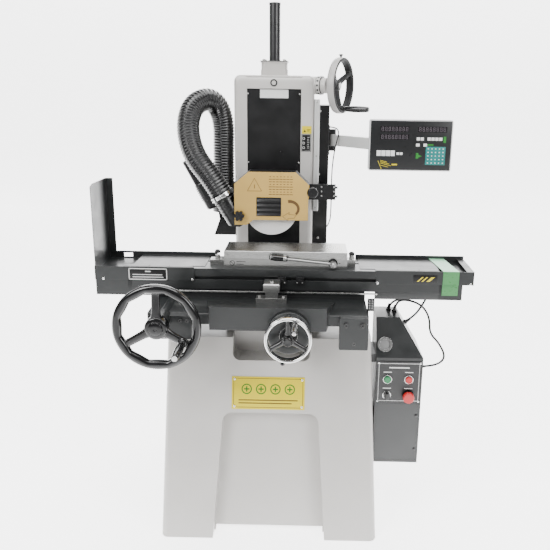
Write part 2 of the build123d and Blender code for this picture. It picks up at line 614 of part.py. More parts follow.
with BuildPart() as saddle_casting:
    add(bar((SADDLE_LEFT, WING_FRONT, SADDLE_LOW), (SADDLE_RIGHT, SADDLE_BACK, WING_TOP)))
    add(bar((SADDLE_LEFT, UPPER_FRONT, SADDLE_LOW), (SADDLE_RIGHT, SADDLE_BACK, SADDLE_TOP)))
    with BuildSketch(Plane.XZ.offset(-APRON_FRONT)):
        with Locations((-5, (APRON_BOTTOM + APRON_TOP) / 2)):
            Rectangle(396, APRON_TOP - APRON_BOTTOM)
    with BuildSketch(Plane.XZ.offset(208)):
        with Locations((-4, (APRON_BOTTOM + 6 + WING_TOP - 0.5) / 2)):
            Rectangle(466, WING_TOP - 6.5 - APRON_BOTTOM)
    loft()
    wing_edges = saddle_casting.edges().filter_by(Axis.X)
    wing_edges = wing_edges.filter_by(lambda e: abs(e.center().Y - WING_FRONT) < 1 and e.center().Z > 820)
    fillet(wing_edges, 5)
    low = (SADDLE_LEFT + 14, WING_FRONT + 14, SADDLE_LOW - 10)
    add(bar(low, (SADDLE_RIGHT - 14, SADDLE_BACK - 14, WING_TOP - 12)), mode=Mode.SUBTRACT)
    add(bar((-188, APRON_FRONT + 13, APRON_BOTTOM - 5), (178, WING_FRONT + 20, 830)), mode=Mode.SUBTRACT)
    low = (SADDLE_LEFT + 14, UPPER_FRONT + 12, 810)
    add(bar(low, (SADDLE_RIGHT - 14, SADDLE_BACK - 14, SADDLE_TOP - 14)), mode=Mode.SUBTRACT)
    for side in (-1, 1):
        x = side * WAY_X
        add(bar((x - 42, -184, WAY_TOP + RUN), (x + 42, SADDLE_BACK, WING_TOP)))
        add(bar((x - 42, UPPER_FRONT, WAY_TOP + RUN), (x + 42, SADDLE_BACK, SADDLE_TOP)))
        add(bar((x - 42, -184, 764), (x - 24 - RUN, SADDLE_BACK, WAY_TOP + 2)))
        add(bar((x + 24 + RUN, -184, 764), (x + 42, SADDLE_BACK, WAY_TOP + 2)))
    for y in (RAIL_FRONT_Y, RAIL_BACK_Y):
        add(bar((SADDLE_LEFT, y - 15, SADDLE_TOP - 2), (SADDLE_RIGHT, y + 15, RAIL_TOP)))
    x, y, z = TABLE_WHEEL
    add(rod((x, WING_FRONT, z), BACK, -198 - WING_FRONT, 21))
    add(rod((x, y, z), BACK, 462, 12.5 + BORE), mode=Mode.SUBTRACT)
    low = (x - PINION_R - 3, -113, z - PINION_R - 3)
    add(bar(low, (x + PINION_R + 3, -83, SADDLE_TOP + 0.05)), mode=Mode.SUBTRACT)
    x, y, z = CROSS_WHEEL
    add(rod((x, APRON_FRONT - 1, z), BACK, 62, 22), mode=Mode.SUBTRACT)
    add(bar((x - 22, APRON_FRONT - 1, 770), (x + 22, APRON_FRONT + 61, z)), mode=Mode.SUBTRACT)
write("saddle_casting", saddle_casting.part)

with BuildPart() as bearing_block_left:
    add(bar((-402, -392, 744), (-266, WING_FRONT, WING_TOP)))
    fillet(bearing_block_left.edges().filter_by(Axis.Y), 5)
    add(rod((TABLE_WHEEL[0], -428, TABLE_WHEEL[2]), BACK, 60, 30))
    for x in (-302, -279):
        add(rod((x, -396, 812), BACK, 10, 6.5))
    add(rod((TABLE_WHEEL[0], -460, TABLE_WHEEL[2]), BACK, 150, 12.5 + BORE), mode=Mode.SUBTRACT)
write("bearing_block_left", bearing_block_left.part)

with BuildPart() as cover_block_right:
    add(bar((237, -392, 715), (336, WING_FRONT, WING_TOP)))
    fillet(cover_block_right.edges().filter_by(Axis.Y), 5)
    for x in (259, 315):
        add(rod((x, -396, 805), BACK, 10, 7.5))
write("cover_block_right", cover_block_right.part)

with BuildPart() as stop_block:
    add(bar((-55, -278, 838), (53, -236, 858)))
    add(bar((-22, -276, 850), (22, -238, 880)))
    add(bar((-29, -278, 880), (28, -207, 910)))
    chamfer(stop_block.faces().sort_by(Axis.Z)[-1].edges(), 3)
    add(rod((0, -250, 908), UP, 7, 7))
    for x in (-43, 41):
        add(rod((x, -257, 856), UP, 7, 5.5))
    add(saddle_casting.part, mode=Mode.SUBTRACT)
write("stop_block", stop_block.part)

with BuildPart() as crossfeed_flange:
    x, y, z = CROSS_WHEEL
    add(rod((x, APRON_FRONT - 16, z), BACK, 16, 74))
    fillet(crossfeed_flange.faces().sort_by(Axis.Y)[0].edges(), 3)
    for turn in (50, 90, 130):
        dx = 63 * cos(radians(turn))
        dz = 63 * sin(radians(turn))
        add(rod((x + dx, APRON_FRONT - 20, z + dz), BACK, 8, 4.5))
    add(rod((x, APRON_FRONT - 40, z), BACK, 26, 30))
    add(rod((x, APRON_FRONT, z), BACK, 60, 22))
    add(rod((x, -500, z), BACK, 300, 10 + BORE), mode=Mode.SUBTRACT)
write("crossfeed_flange", crossfeed_flange.part)

# ---- table --------------------------------------------------------------
TABLE_LEFT = CHUCK_X - TABLE_HALF_L
TABLE_RIGHT = CHUCK_X + TABLE_HALF_L
with BuildPart() as table_casting:
    add(bar((TABLE_LEFT, TABLE_FRONT, TABLE_BOTTOM), (TABLE_RIGHT, TABLE_BACK, TABLE_TOP)))
    for y in (RAIL_FRONT_Y, RAIL_BACK_Y):
        low = (TABLE_LEFT - 1, y - 15 - RUN, TABLE_BOTTOM - 1)
        add(bar(low, (TABLE_RIGHT + 1, y + 15 + RUN, RAIL_TOP + RUN)), mode=Mode.SUBTRACT)
    slot_mouth = bar((TABLE_LEFT - 1, TABLE_FRONT - 1, 899), (TABLE_RIGHT + 1, TABLE_FRONT + 9, 912))
    slot_root = bar((TABLE_LEFT - 1, TABLE_FRONT + 8, 894), (TABLE_RIGHT + 1, TABLE_FRONT + 16, 917))
    add(slot_mouth, mode=Mode.SUBTRACT)
    add(slot_root, mode=Mode.SUBTRACT)
    add(bar((TABLE_LEFT - 1, -93, 928), (TABLE_RIGHT + 1, -79, TABLE_TOP + 1)), mode=Mode.SUBTRACT)
    add(bar((TABLE_LEFT - 1, -98, 918), (TABLE_RIGHT + 1, -74, 929)), mode=Mode.SUBTRACT)
    add(bar((TABLE_LEFT + 14, RAIL_FRONT_Y + 30, TABLE_BOTTOM + 16), (TABLE_RIGHT - 14, RAIL_BACK_Y - 30, 906)),
        mode=Mode.SUBTRACT)
    add(bar((TABLE_LEFT + 15, -110, SADDLE_TOP + 0.6), (TABLE_RIGHT - 15, -86, TABLE_BOTTOM + 1)))
write("table_casting", table_casting.part)

with BuildPart() as trip_dogs:
    for x in (20, 84):
        add(bar((x, TABLE_FRONT - 14, 888), (x + 28, TABLE_FRONT, 916)))
        add(bar((x + 4, TABLE_FRONT, 900), (x + 24, TABLE_FRONT + 8, 911)))
        add(rod((x + 14, TABLE_FRONT - 15.5, 902), BACK, 6, 6))
write("trip_dogs", trip_dogs.part)

LEVER = (218.0, 964.0)
with BuildPart() as chuck_body:
    half = CHUCK_LENGTH / 2
    back = CHUCK_FRONT + CHUCK_DEPTH
    add(bar((CHUCK_X - half, CHUCK_FRONT, TABLE_TOP), (CHUCK_X + half, back, 973)))
    add(bar((CHUCK_X - half + 12, CHUCK_FRONT + 12, TABLE_TOP - 1), (CHUCK_X + half - 12, back - 12, 962)),
        mode=Mode.SUBTRACT)
    add(rod((LEVER[0], CHUCK_FRONT - 4, LEVER[1] - 4), BACK, 10, 8))
    add(rod((LEVER[0], CHUCK_FRONT - 30, LEVER[1] - 4), BACK, 29, 5))
write("chuck_body", chuck_body.part)

with BuildPart() as chuck_plate:
    add(bar((CHUCK_X - half, CHUCK_FRONT, 973), (CHUCK_X + half, back, CHUCK_TOP)))
    chamfer(chuck_plate.faces().sort_by(Axis.Z)[-1].edges(), 1)
write("chuck_plate", chuck_plate.part)

LEVER_TILT = radians(5.5)
lever_axis = (-cos(LEVER_TILT), 0, sin(LEVER_TILT))
lever_start = (LEVER[0], CHUCK_FRONT - 16, LEVER[1] - 4)
with BuildPart() as chuck_lever:
    add(rod((LEVER[0], CHUCK_FRONT - 26, LEVER[1] - 4), BACK, 21, 12))
    add(rod(lever_start, lever_axis, 178, 4.5))
    add(rod(along(lever_start, lever_axis, 170), lever_axis, 60, 9.5))
    fillet(chuck_lever.edges().filter_by(lambda e: e.geom_type == GeomType.CIRCLE and 9 < e.radius < 10), 3)
    add(rod((LEVER[0], CHUCK_FRONT - 60, LEVER[1] - 4), BACK, 90, 5 + BORE), mode=Mode.SUBTRACT)
write("chuck_lever", chuck_lever.part)

with BuildPart() as chuck_clamps:
    add(bar((CHUCK_X + half, -134, TABLE_TOP), (CHUCK_X + half + 32, -92, 966)))
    add(rod((CHUCK_X + half + 18, -113, 966), UP, 20, 9))
    add(bar((CHUCK_X - half - 56, -130, TABLE_TOP), (CHUCK_X - half, -88, 958)))
    add(rod((CHUCK_X - half - 30, -109, 958), UP, 14, 9))
write("chuck_clamps", chuck_clamps.part)

TRAY_LEFT = -648.0
TRAY_RIGHT = 728.0
TRAY_LOW = 834.0
TRAY_FRONT = TABLE_FRONT - SHEET
TRAY_BACK = TABLE_BACK + SHEET
TRAY_BACK_TOP = 955.0
BAND_LOW = 893.0
SHROUD_FRONT = TABLE_FRONT + 4.0
FLOOR_FRONT = -163.0
FLOOR_Z = TABLE_TOP + 1.5
with BuildPart() as tray_left:
    add(bar((TRAY_LEFT, TRAY_FRONT, BAND_LOW), (-285, TABLE_FRONT, TABLE_TOP + 3)))
    add(bar((TRAY_LEFT, SHROUD_FRONT, TRAY_LOW), (TABLE_LEFT, SHROUD_FRONT + SHEET, BAND_LOW + SHEET)))
    add(bar((TRAY_LEFT, TRAY_FRONT, BAND_LOW), (TABLE_LEFT, SHROUD_FRONT + SHEET, BAND_LOW + SHEET)))
    add(bar((TRAY_LEFT, TRAY_FRONT, BAND_LOW), (TRAY_LEFT + SHEET, TRAY_BACK, TABLE_TOP + 3)))
    add(bar((TRAY_LEFT, SHROUD_FRONT, TRAY_LOW), (TRAY_LEFT + SHEET, TRAY_BACK, BAND_LOW + SHEET)))
    add(bar((TRAY_LEFT, TABLE_BACK, TRAY_LOW), (-225, TRAY_BACK, TRAY_BACK_TOP)))
    add(bar((TRAY_LEFT, TRAY_FRONT, 926), (TABLE_LEFT, TRAY_BACK, 928)))
    add(bar((TABLE_LEFT, FLOOR_FRONT, TABLE_TOP), (-250, TABLE_BACK, FLOOR_Z)))
    add(bar((-590, TABLE_BACK - 1, 932), (-556, TRAY_BACK + 1, 948)), mode=Mode.SUBTRACT)
write("tray_left", tray_left.part)

with BuildPart() as tray_right:
    add(bar((374, TRAY_FRONT, BAND_LOW), (TRAY_RIGHT, TABLE_FRONT, TABLE_TOP + 3)))
    add(bar((TABLE_RIGHT, SHROUD_FRONT, TRAY_LOW), (690, SHROUD_FRONT + SHEET, BAND_LOW + SHEET)))
    add(bar((TABLE_RIGHT, TRAY_FRONT, BAND_LOW), (TRAY_RIGHT, SHROUD_FRONT + SHEET, BAND_LOW + SHEET)))
    add(bar((TRAY_RIGHT - SHEET, TRAY_FRONT, BAND_LOW), (TRAY_RIGHT, TRAY_BACK, TABLE_TOP + 3)))
    add(bar((688, SHROUD_FRONT, TRAY_LOW), (690, TRAY_BACK, BAND_LOW + SHEET)))
    add(bar((688, TABLE_BACK, TRAY_LOW), (TRAY_RIGHT, TRAY_BACK, TRAY_BACK_TOP)))
    add(bar((310, TABLE_BACK, TRAY_LOW), (690, TRAY_BACK, TRAY_BACK_TOP)))
    add(bar((TRAY_RIGHT - 26, TRAY_FRONT, TABLE_TOP + 1.5), (TRAY_RIGHT, TRAY_BACK, TABLE_TOP + 3)))
    add(bar((TABLE_RIGHT, TRAY_FRONT, 926), (TRAY_RIGHT, TRAY_BACK, 928)))
    add(bar((318, FLOOR_FRONT, TABLE_TOP), (TABLE_RIGHT, TABLE_BACK, FLOOR_Z)))
write("tray_right", tray_right.part)

GUARD_TOP = 1238.0
with BuildPart() as splash_guard:
    add(bar((TRAY_LEFT + SHEET, TABLE_FRONT, 928), (TRAY_LEFT + 2 * SHEET, TABLE_BACK, GUARD_TOP)))
    add(bar((TRAY_LEFT + SHEET, TABLE_BACK - SHEET, 948), (TRAY_LEFT + 30, TABLE_BACK, GUARD_TOP)))
    with BuildSketch(Plane.YZ.offset(TRAY_LEFT + SHEET)):
        Polygon((TABLE_FRONT - 1, GUARD_TOP + 1), (TABLE_FRONT + 30, GUARD_TOP + 1), (TABLE_FRONT - 1, GUARD_TOP - 8),
                align=None)
    extrude(amount=SHEET, mode=Mode.SUBTRACT)
write("splash_guard", splash_guard.part)

# ---- hand wheels --------------------------------------------------------


def hand_wheel(radius, rim_depth, rim_width, hub, bore, spoke, dish, first_angle):
    """A three-spoke wheel about local Z, its front face at Z = 0 and its hub set back by dish."""
    hub_r, hub_low, hub_high = hub
    with BuildPart() as wheel:
        with BuildSketch(Plane.XZ):
            with Locations((radius - rim_width / 2, -rim_depth / 2)):
                RectangleRounded(rim_width, rim_depth, min(rim_width, rim_depth) * 0.38)
        revolve(axis=Axis.Z)
        with Locations((0, 0, (hub_low + hub_high) / 2)):
            Cylinder(hub_r, hub_high - hub_low)
        for step in range(3):
            turn = radians(first_angle + 120 * step)
            out = (cos(turn), sin(turn), 0)
            inner = Plane(origin=along((0, 0, dish), out, hub_r * 0.6), x_dir=(-sin(turn), cos(turn), 0), z_dir=out)
            reach = radius - rim_width * 0.5 - hub_r * 0.6
            with BuildSketch(inner):
                RectangleRounded(spoke * 1.25, 15, 5)
            with BuildSketch(Plane(origin=along((0, 0, -rim_depth / 2), out, hub_r * 0.6 + reach),
                                   x_dir=(-sin(turn), cos(turn), 0), z_dir=out)):
                RectangleRounded(spoke, 13, 5)
            loft()
        with Locations((0, 0, (hub_low + hub_high) / 2)):
            Cylinder(bore, 400, mode=Mode.SUBTRACT)
    return wheel.part


def grip(length, tail_r, belly_r, bore):
    """A turned handle about local Z, its foot at Z = 0."""
    with BuildPart() as handle:
        with BuildSketch(Plane.XZ):
            with BuildLine():
                Spline((tail_r, 0), (belly_r, length * 0.62), (belly_r * 0.72, length))
                Line((belly_r * 0.72, length), (bore, length))
                Line((bore, length), (bore, 0))
                Line((bore, 0), (tail_r, 0))
            make_face()
        revolve(axis=Axis.Z)
    return handle.part


def stud_at(start, axis, foot, length, radius):
    """A handle stud with a collar that keeps the handle on."""
    return rod(along(start, axis, -foot), axis, foot + length, radius) + rod(
        along(start, axis, length + 0.6), axis, 3.0, radius + 5
    ) + rod(along(start, axis, length - 0.2), axis, 1.5, radius)


STUD_R = 5.0
front_face = (TABLE_WHEEL[0], TABLE_WHEEL[1] - 15, TABLE_WHEEL[2])
table_plane = Plane(origin=front_face, x_dir=(1, 0, 0), z_dir=FRONT)
table_wheel = table_plane.location * hand_wheel(
    TABLE_WHEEL_R, 30, 31, (40, -34, 6), 12.5, 27, -14, 90
)
turn = radians(-30)
TABLE_GRIP = (TABLE_WHEEL[0] + 98 * cos(turn), TABLE_WHEEL[1] - 22, TABLE_WHEEL[2] + 98 * sin(turn))
table_wheel = table_wheel + rod(along(TABLE_GRIP, FRONT, -16), FRONT, 12, 13)
table_wheel = table_wheel + rod(along(TABLE_GRIP, FRONT, -18), FRONT, 17.4, 9)
table_wheel = table_wheel + stud_at(TABLE_GRIP, FRONT, 16, 123, STUD_R)
write("table_handwheel", table_wheel)
handle = Plane(origin=along(TABLE_GRIP, FRONT, 0), x_dir=(1, 0, 0), z_dir=FRONT).location * grip(
    122, 11, 14, STUD_R + BORE
)
write("table_handle", handle)

with BuildPart() as pinion_shaft:
    x, y, z = TABLE_WHEEL
    add(rod((x, y - 24, z), BACK, 406, 12.5))
    add(rod((x, -110, z), BACK, 24, PINION_R))
write("pinion_shaft", pinion_shaft.part)

front_face = (CROSS_WHEEL[0], CROSS_WHEEL[1] - 15, CROSS_WHEEL[2])
cross_plane = Plane(origin=front_face, x_dir=(1, 0, 0), z_dir=FRONT)
cross_wheel = cross_plane.location * hand_wheel(CROSS_WHEEL_R, 30, 14, (22, -40, -6), 10, 17, -16, 90)
turn = radians(70)
CROSS_GRIP = (CROSS_WHEEL[0] + 62 * cos(turn), CROSS_WHEEL[1] - 16.5, CROSS_WHEEL[2] + 62 * sin(turn))
cross_wheel = cross_wheel + rod(along(CROSS_GRIP, FRONT, -16), FRONT, 15.4, 11)
cross_wheel = cross_wheel + stud_at(CROSS_GRIP, FRONT, 15, 84, 4)
cross_wheel = cross_wheel + rod((CROSS_WHEEL[0] - 18, CROSS_WHEEL[1], CROSS_WHEEL[2] - 74), DOWN, 16, 6)
write("cross_handwheel", cross_wheel)
handle = Plane(origin=CROSS_GRIP, x_dir=(1, 0, 0), z_dir=FRONT).location * grip(83, 8, 10, 4 + BORE)
write("cross_handle", handle)

with BuildPart() as cross_screw:
    add(rod((CROSS_WHEEL[0], -502, CROSS_WHEEL[2]), BACK, 472, 10))
    chamfer(cross_screw.faces().sort_by(Axis.Y)[-1].edges(), 1.5)
write("cross_screw", cross_screw.part)

elev_plane = Plane(origin=horn_point(ELEV_FACE), x_dir=(-horn_axis[1], horn_axis[0], 0), z_dir=horn_axis)
elev_wheel = elev_plane.location * hand_wheel(ELEV_R, 32, 17, (23, -62, -22), 12, 22, -30, 270)
ELEV_GRIP = horn_point(ELEV_FACE + 2, -88)
elev_wheel = elev_wheel + rod(along(ELEV_GRIP, horn_axis, -22), horn_axis, 21.4, 12)
elev_wheel = elev_wheel + stud_at(ELEV_GRIP, horn_axis, 10, 104, STUD_R)
elev_wheel = elev_wheel + rod(horn_point(ELEV_FACE - 18, ELEV_R - 5), UP, 17, 6.5)
write("elevating_handwheel", elev_wheel)
handle = Plane(origin=ELEV_GRIP, z_dir=horn_axis).location * grip(103, 9, 12, STUD_R + BORE)
write("elevating_handle", handle)

with BuildPart() as elevating_shaft:
    add(rod(horn_point(24), horn_axis, 266, 12))
    add(rod(horn_point(30), horn_axis, 18, 20))
write("elevating_shaft", elevating_shaft.part)

# ---- readout ------------------------------------------------------------
SCREEN_X = 494.0
SCREEN_Z = 1377.0
SCREEN_W = 302.0
SCREEN_H = 184.0
SCREEN_FRONT = -41.0
arm_end = (SCREEN_X - 40.0, 44.0)
arm_dir = Vector(arm_end[0] - ARM_PIVOT[0], arm_end[1] - ARM_PIVOT[1], 0)
with BuildPart() as readout_arm:
    mid = (Vector(*ARM_PIVOT, 0) + Vector(*arm_end, 0)) / 2
    with BuildSketch(Plane(origin=(mid.X, mid.Y, ARM_Z - 22), x_dir=arm_dir, z_dir=(0, 0, 1))):
        Rectangle(arm_dir.length, 30)
    extrude(amount=44)
    add(rod((ARM_PIVOT[0], ARM_PIVOT[1], ARM_Z - 24 + RUN), UP, 48 - 2 * RUN, 14))
    add(rod((arm_end[0], arm_end[1], ARM_Z - 22), UP, 44, 18))
    add(bar((arm_end[0] - 14, 24, ARM_Z - 16), (arm_end[0] + 14, arm_end[1], ARM_Z + 16)))
    add(rod((ARM_PIVOT[0], ARM_PIVOT[1], ARM_Z - 60), UP, 120, 6 + BORE), mode=Mode.SUBTRACT)
    add(bar((arm_end[0] - 60, 17, ARM_Z - 40), (arm_end[0] + 60, 26, ARM_Z + 40)), mode=Mode.SUBTRACT)
    add(bar((arm_end[0] - 14, 8, ARM_Z - 7), (arm_end[0] + 14, 30, ARM_Z + 7)))
    add(rod((arm_end[0] - 30, 8, ARM_Z), RIGHT, 60, 7))
write("readout_arm", readout_arm.part)

with BuildPart() as readout_console:
    add(bar((SCREEN_X - SCREEN_W / 2, SCREEN_FRONT, SCREEN_Z - SCREEN_H / 2),
            (SCREEN_X + SCREEN_W / 2, -6, SCREEN_Z + SCREEN_H / 2)))
    fillet(readout_console.edges().filter_by(Axis.Y), 7)
    add(bar((SCREEN_X - SCREEN_W / 2 + 3, SCREEN_FRONT + 5, SCREEN_Z - SCREEN_H / 2 + 3),
            (SCREEN_X + SCREEN_W / 2 - 3, -8, SCREEN_Z + SCREEN_H / 2 - 3)), mode=Mode.SUBTRACT)
    for x in (arm_end[0] - 28, arm_end[0] + 16):
        add(bar((x, -6, ARM_Z - 12), (x + 12, 8, ARM_Z + 12)))
        add(rod((x, 8, ARM_Z), RIGHT, 12, 12))
    add(rod((arm_end[0] - 60, 8, ARM_Z), RIGHT, 120, 7 + BORE), mode=Mode.SUBTRACT)
write("readout_console", readout_console.part)

# ---- work lamp ----------------------------------------------------------
LAMP_PIVOT = (-262.0, 120.0, 1136.0)
lamp_dir = Vector(-0.47, 0.0, 0.88).normalized()
with BuildPart() as lamp_arm:
    add(bar((COLUMN_X - COLUMN_HALF_W - 10, 206, 1156), (COLUMN_X - COLUMN_HALF_W, 230, 1200)))
    add(bar((LAMP_PIVOT[0] - 8, LAMP_PIVOT[1] + 31, LAMP_PIVOT[2] - 8),
            (LAMP_PIVOT[0] + 8, LAMP_PIVOT[1] + 47, LAMP_PIVOT[2] + 8)))
    reach = Vector(COLUMN_X - COLUMN_HALF_W - 5, 214, 1172) - Vector(
        LAMP_PIVOT[0], LAMP_PIVOT[1] + 39, LAMP_PIVOT[2])
    add(rod((LAMP_PIVOT[0], LAMP_PIVOT[1] + 39, LAMP_PIVOT[2]), tuple(reach), reach.length, 7))
    add(rod((LAMP_PIVOT[0], LAMP_PIVOT[1] - 10, LAMP_PIVOT[2]), BACK, 50, 6))
write("lamp_arm", lamp_arm.part)

lamp_plane = Plane(origin=LAMP_PIVOT, x_dir=(0, 1, 0), z_dir=lamp_dir)
with BuildPart() as lamp_body:
    with BuildSketch(Plane.XY.offset(-28)):
        RectangleRounded(50, 60, 20)
    extrude(amount=112)
    fillet(lamp_body.faces().sort_by(Axis.Z)[0].edges(), 10)
    fillet(lamp_body.faces().sort_by(Axis.Z)[-1].edges(), 6)
    with BuildSketch(Plane.XY.offset(80)):
        with Locations((0, 4)):
            RectangleRounded(22, 48, 9)
    extrude(amount=106)
    fillet(lamp_body.faces().sort_by(Axis.Z)[-1].edges(), 7)
lamp_head = lamp_plane.location * lamp_body.part
lamp_head = lamp_head - rod((LAMP_PIVOT[0], LAMP_PIVOT[1] - 10 - RUN, LAMP_PIVOT[2]), BACK, 80, 6 + BORE)
write("lamp_head", lamp_head)

# ---- cables -------------------------------------------------------------
CABLE_R = 4.0
CABLE_LOOP = (
    (BOX_RIGHT, -150.0, 556.0),
    (612.0, -150.0, 556.0),
    (658.0, -151.0, 590.0),
    (628.0, -152.0, 652.0),
    (588.0, -152.0, 692.0),
    (586.0, -150.0, 752.0),
    (556.0, -144.0, 800.0),
    (500.0, -134.0, 818.0),
    (460.0, -122.0, 806.0),
    (456.0, -118.0, BOX_TOP),
)
CABLE_REAR_TOP = (
    (436.0, -100.0, BOX_TOP),
    (440.0, -98.0, 792.0),
    (486.0, -84.0, 806.0),
    (548.0, -34.0, 808.0),
    (578.0, 50.0, 806.0),
    (556.0, 150.0, 802.0),
    (478.0, 226.0, 800.0),
    (380.0, 262.0, 804.0),
    (284.0, 286.0, 812.0),
    (204.0, 306.0, 832.0),
    (182.0, 314.0, 880.0),
    (182.0, 316.0, 930.0),
)
CABLE_REAR_SIDE = (
    (497.0, -120.0, 722.0),
    (536.0, -118.0, 750.0),
    (566.0, -100.0, 790.0),
    (596.0, -40.0, 810.0),
    (610.0, 50.0, 808.0),
    (580.0, 160.0, 804.0),
    (492.0, 252.0, 802.0),
    (388.0, 290.0, 806.0),
    (288.0, 314.0, 816.0),
    (210.0, 336.0, 836.0),
    (182.0, 348.0, 880.0),
    (181.0, 350.0, 930.0),
)
with BuildPart() as control_cables:
    for route in (CABLE_LOOP, CABLE_REAR_TOP, CABLE_REAR_SIDE):
        add(flexible(route, CABLE_R))
write("control_cables", control_cables.part)

SIGNAL_R = 2.5
SIGNAL_ROUTE = (
    (207.5, 284.0, 1421.0),
    (234.0, 268.0, 1421.0),
    (245.0, 247.0, 1400.0),
    (230.0, 243.0, 1345.0),
    (221.0, 244.0, 1282.0),
    (218.0, 246.0, 1212.0),
    (219.0, 248.0, 1140.0),
    (219.0, 254.0, 1076.0),
    (217.0, 268.0, 1030.0),
    (204.0, 282.0, 1004.0),
)
write("signal_cable", flexible(SIGNAL_ROUTE, SIGNAL_R))
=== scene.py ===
"""Looks of the surface grinder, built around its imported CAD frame.

Places are Vectors in metres; sizes given to the mesh helpers are in millimetres. +Z up, +X to
the operator's right, +Y away from the operator, origin on the floor.
"""

import json
import math
from types import SimpleNamespace

import bmesh
import bpy
from mathutils import Matrix, Vector


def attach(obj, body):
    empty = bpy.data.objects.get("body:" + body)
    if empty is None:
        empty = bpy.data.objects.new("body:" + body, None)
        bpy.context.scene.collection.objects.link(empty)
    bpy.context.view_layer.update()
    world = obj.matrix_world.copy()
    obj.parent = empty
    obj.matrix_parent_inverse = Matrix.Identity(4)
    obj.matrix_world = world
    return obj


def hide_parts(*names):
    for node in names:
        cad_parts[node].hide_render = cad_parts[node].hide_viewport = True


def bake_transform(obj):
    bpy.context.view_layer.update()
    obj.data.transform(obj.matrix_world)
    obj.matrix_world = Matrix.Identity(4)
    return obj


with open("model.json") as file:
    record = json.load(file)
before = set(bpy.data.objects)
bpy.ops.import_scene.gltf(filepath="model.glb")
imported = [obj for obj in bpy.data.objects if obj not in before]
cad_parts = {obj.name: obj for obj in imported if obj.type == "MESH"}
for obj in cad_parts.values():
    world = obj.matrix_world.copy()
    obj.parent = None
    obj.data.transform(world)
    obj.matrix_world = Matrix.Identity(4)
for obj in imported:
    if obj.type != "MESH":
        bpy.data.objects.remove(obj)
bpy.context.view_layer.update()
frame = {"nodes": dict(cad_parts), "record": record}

MM = 0.001
FRONT = Vector((0, -1, 0))
UP = Vector((0, 0, 1))
RIGHT = Vector((1, 0, 0))
BACK = Vector((0, 1, 0))
SHARP = 32  # degrees: flatter edges than this are shaded smooth


# ---- material nodes -----------------------------------------------------


class Surface:
    """One node material: a Principled shader with procedural colour, roughness and bump."""

    def __init__(self, name, roughness=0.5, metallic=0.0, coat=0.0, coat_roughness=0.1):
        self.material = bpy.data.materials.new(name)
        self.material.use_nodes = True
        self.tree = self.material.node_tree
        self.shader = self.tree.nodes["Principled BSDF"]
        self.set("Roughness", roughness)
        self.set("Metallic", metallic)
        self.set("Coat Weight", coat)
        self.set("Coat Roughness", coat_roughness)
        self.height = None

    def set(self, socket, value):
        self.shader.inputs[socket].default_value = value

    def node(self, kind, settings=None, **inputs):
        """Adds a node; settings are its attributes, inputs its sockets by name (spaces as _)."""
        made = self.tree.nodes.new("ShaderNode" + kind)
        for key, value in (settings or {}).items():
            setattr(made, key, value)
        for key, value in inputs.items():
            self.feed(made.inputs[key.replace("_", " ")], value)
        return made

    def feed(self, socket, value):
        if isinstance(value, bpy.types.NodeSocket):
            self.tree.links.new(value, socket)
        else:
            socket.default_value = value

    def place(self, stretch=(1, 1, 1)):
        """Object coordinates in metres, stretched along each axis."""
        coordinates = self.node("TexCoord").outputs["Object"]
        mapping = self.node("Mapping", Vector=coordinates, Scale=stretch)
        return mapping.outputs["Vector"]

    def noise(self, scale, detail=3.0, roughness=0.55, stretch=(1, 1, 1)):
        texture = self.node(
            "TexNoise", Vector=self.place(stretch), Scale=scale, Detail=detail, Roughness=roughness
        )
        return texture.outputs["Fac"]

    def ramp(self, value, low, high, to_low=0.0, to_high=1.0):
        """Maps a value's low..high range onto to_low..to_high, clamped."""
        made = self.node("MapRange", Value=value, From_Min=low, From_Max=high, To_Min=to_low, To_Max=to_high)
        return made.outputs["Result"]

    def math(self, operation, a, b=0.0):
        made = self.node("Math", {"operation": operation})
        self.feed(made.inputs[0], a)
        self.feed(made.inputs[1], b)
        return made.outputs[0]

    def mix(self, factor, a, b):
        made = self.node("Mix", {"data_type": "RGBA"})
        self.feed(made.inputs["Factor"], factor)
        self.feed(made.inputs[6], a)
        self.feed(made.inputs[7], b)
        return made.outputs[2]

    def colour(self, value):
        self.feed(self.shader.inputs["Base Color"], value)

    def rough(self, value):
        self.feed(self.shader.inputs["Roughness"], value)

    def bump(self, height, distance, strength=1.0):
        """Adds one bump layer; layers stack. distance is in metres."""
        made = self.node("Bump", Height=height, Distance=distance, Strength=strength)
        if self.height is not None:
            self.tree.links.new(self.height, made.inputs["Normal"])
        self.height = made.outputs["Normal"]
        self.tree.links.new(self.height, self.shader.inputs["Normal"])

    def soft_edges(self, radius):
        """Rounds every sharp edge's shading by a small radius."""
        made = self.node("Bevel", {"samples": 4}, Radius=radius)
        self.height = made.outputs["Normal"]
        self.tree.links.new(self.height, self.shader.inputs["Normal"])

    def edge_mask(self, radius, low=0.02, high=0.3):
        """1 on sharp edges, 0 on flat faces."""
        rounded = self.node("Bevel", {"samples": 4}, Radius=radius).outputs["Normal"]
        true = self.node("NewGeometry").outputs["True Normal"]
        dot = self.node("VectorMath", {"operation": "DOT_PRODUCT"})
        self.tree.links.new(rounded, dot.inputs[0])
        self.tree.links.new(true, dot.inputs[1])
        turned = self.math("SUBTRACT", 1.0, dot.outputs["Value"])
        return self.ramp(turned, low, high)


def tint(colour, factor):
    return tuple(min(1.0, c * factor) for c in colour[:3]) + (1.0,)


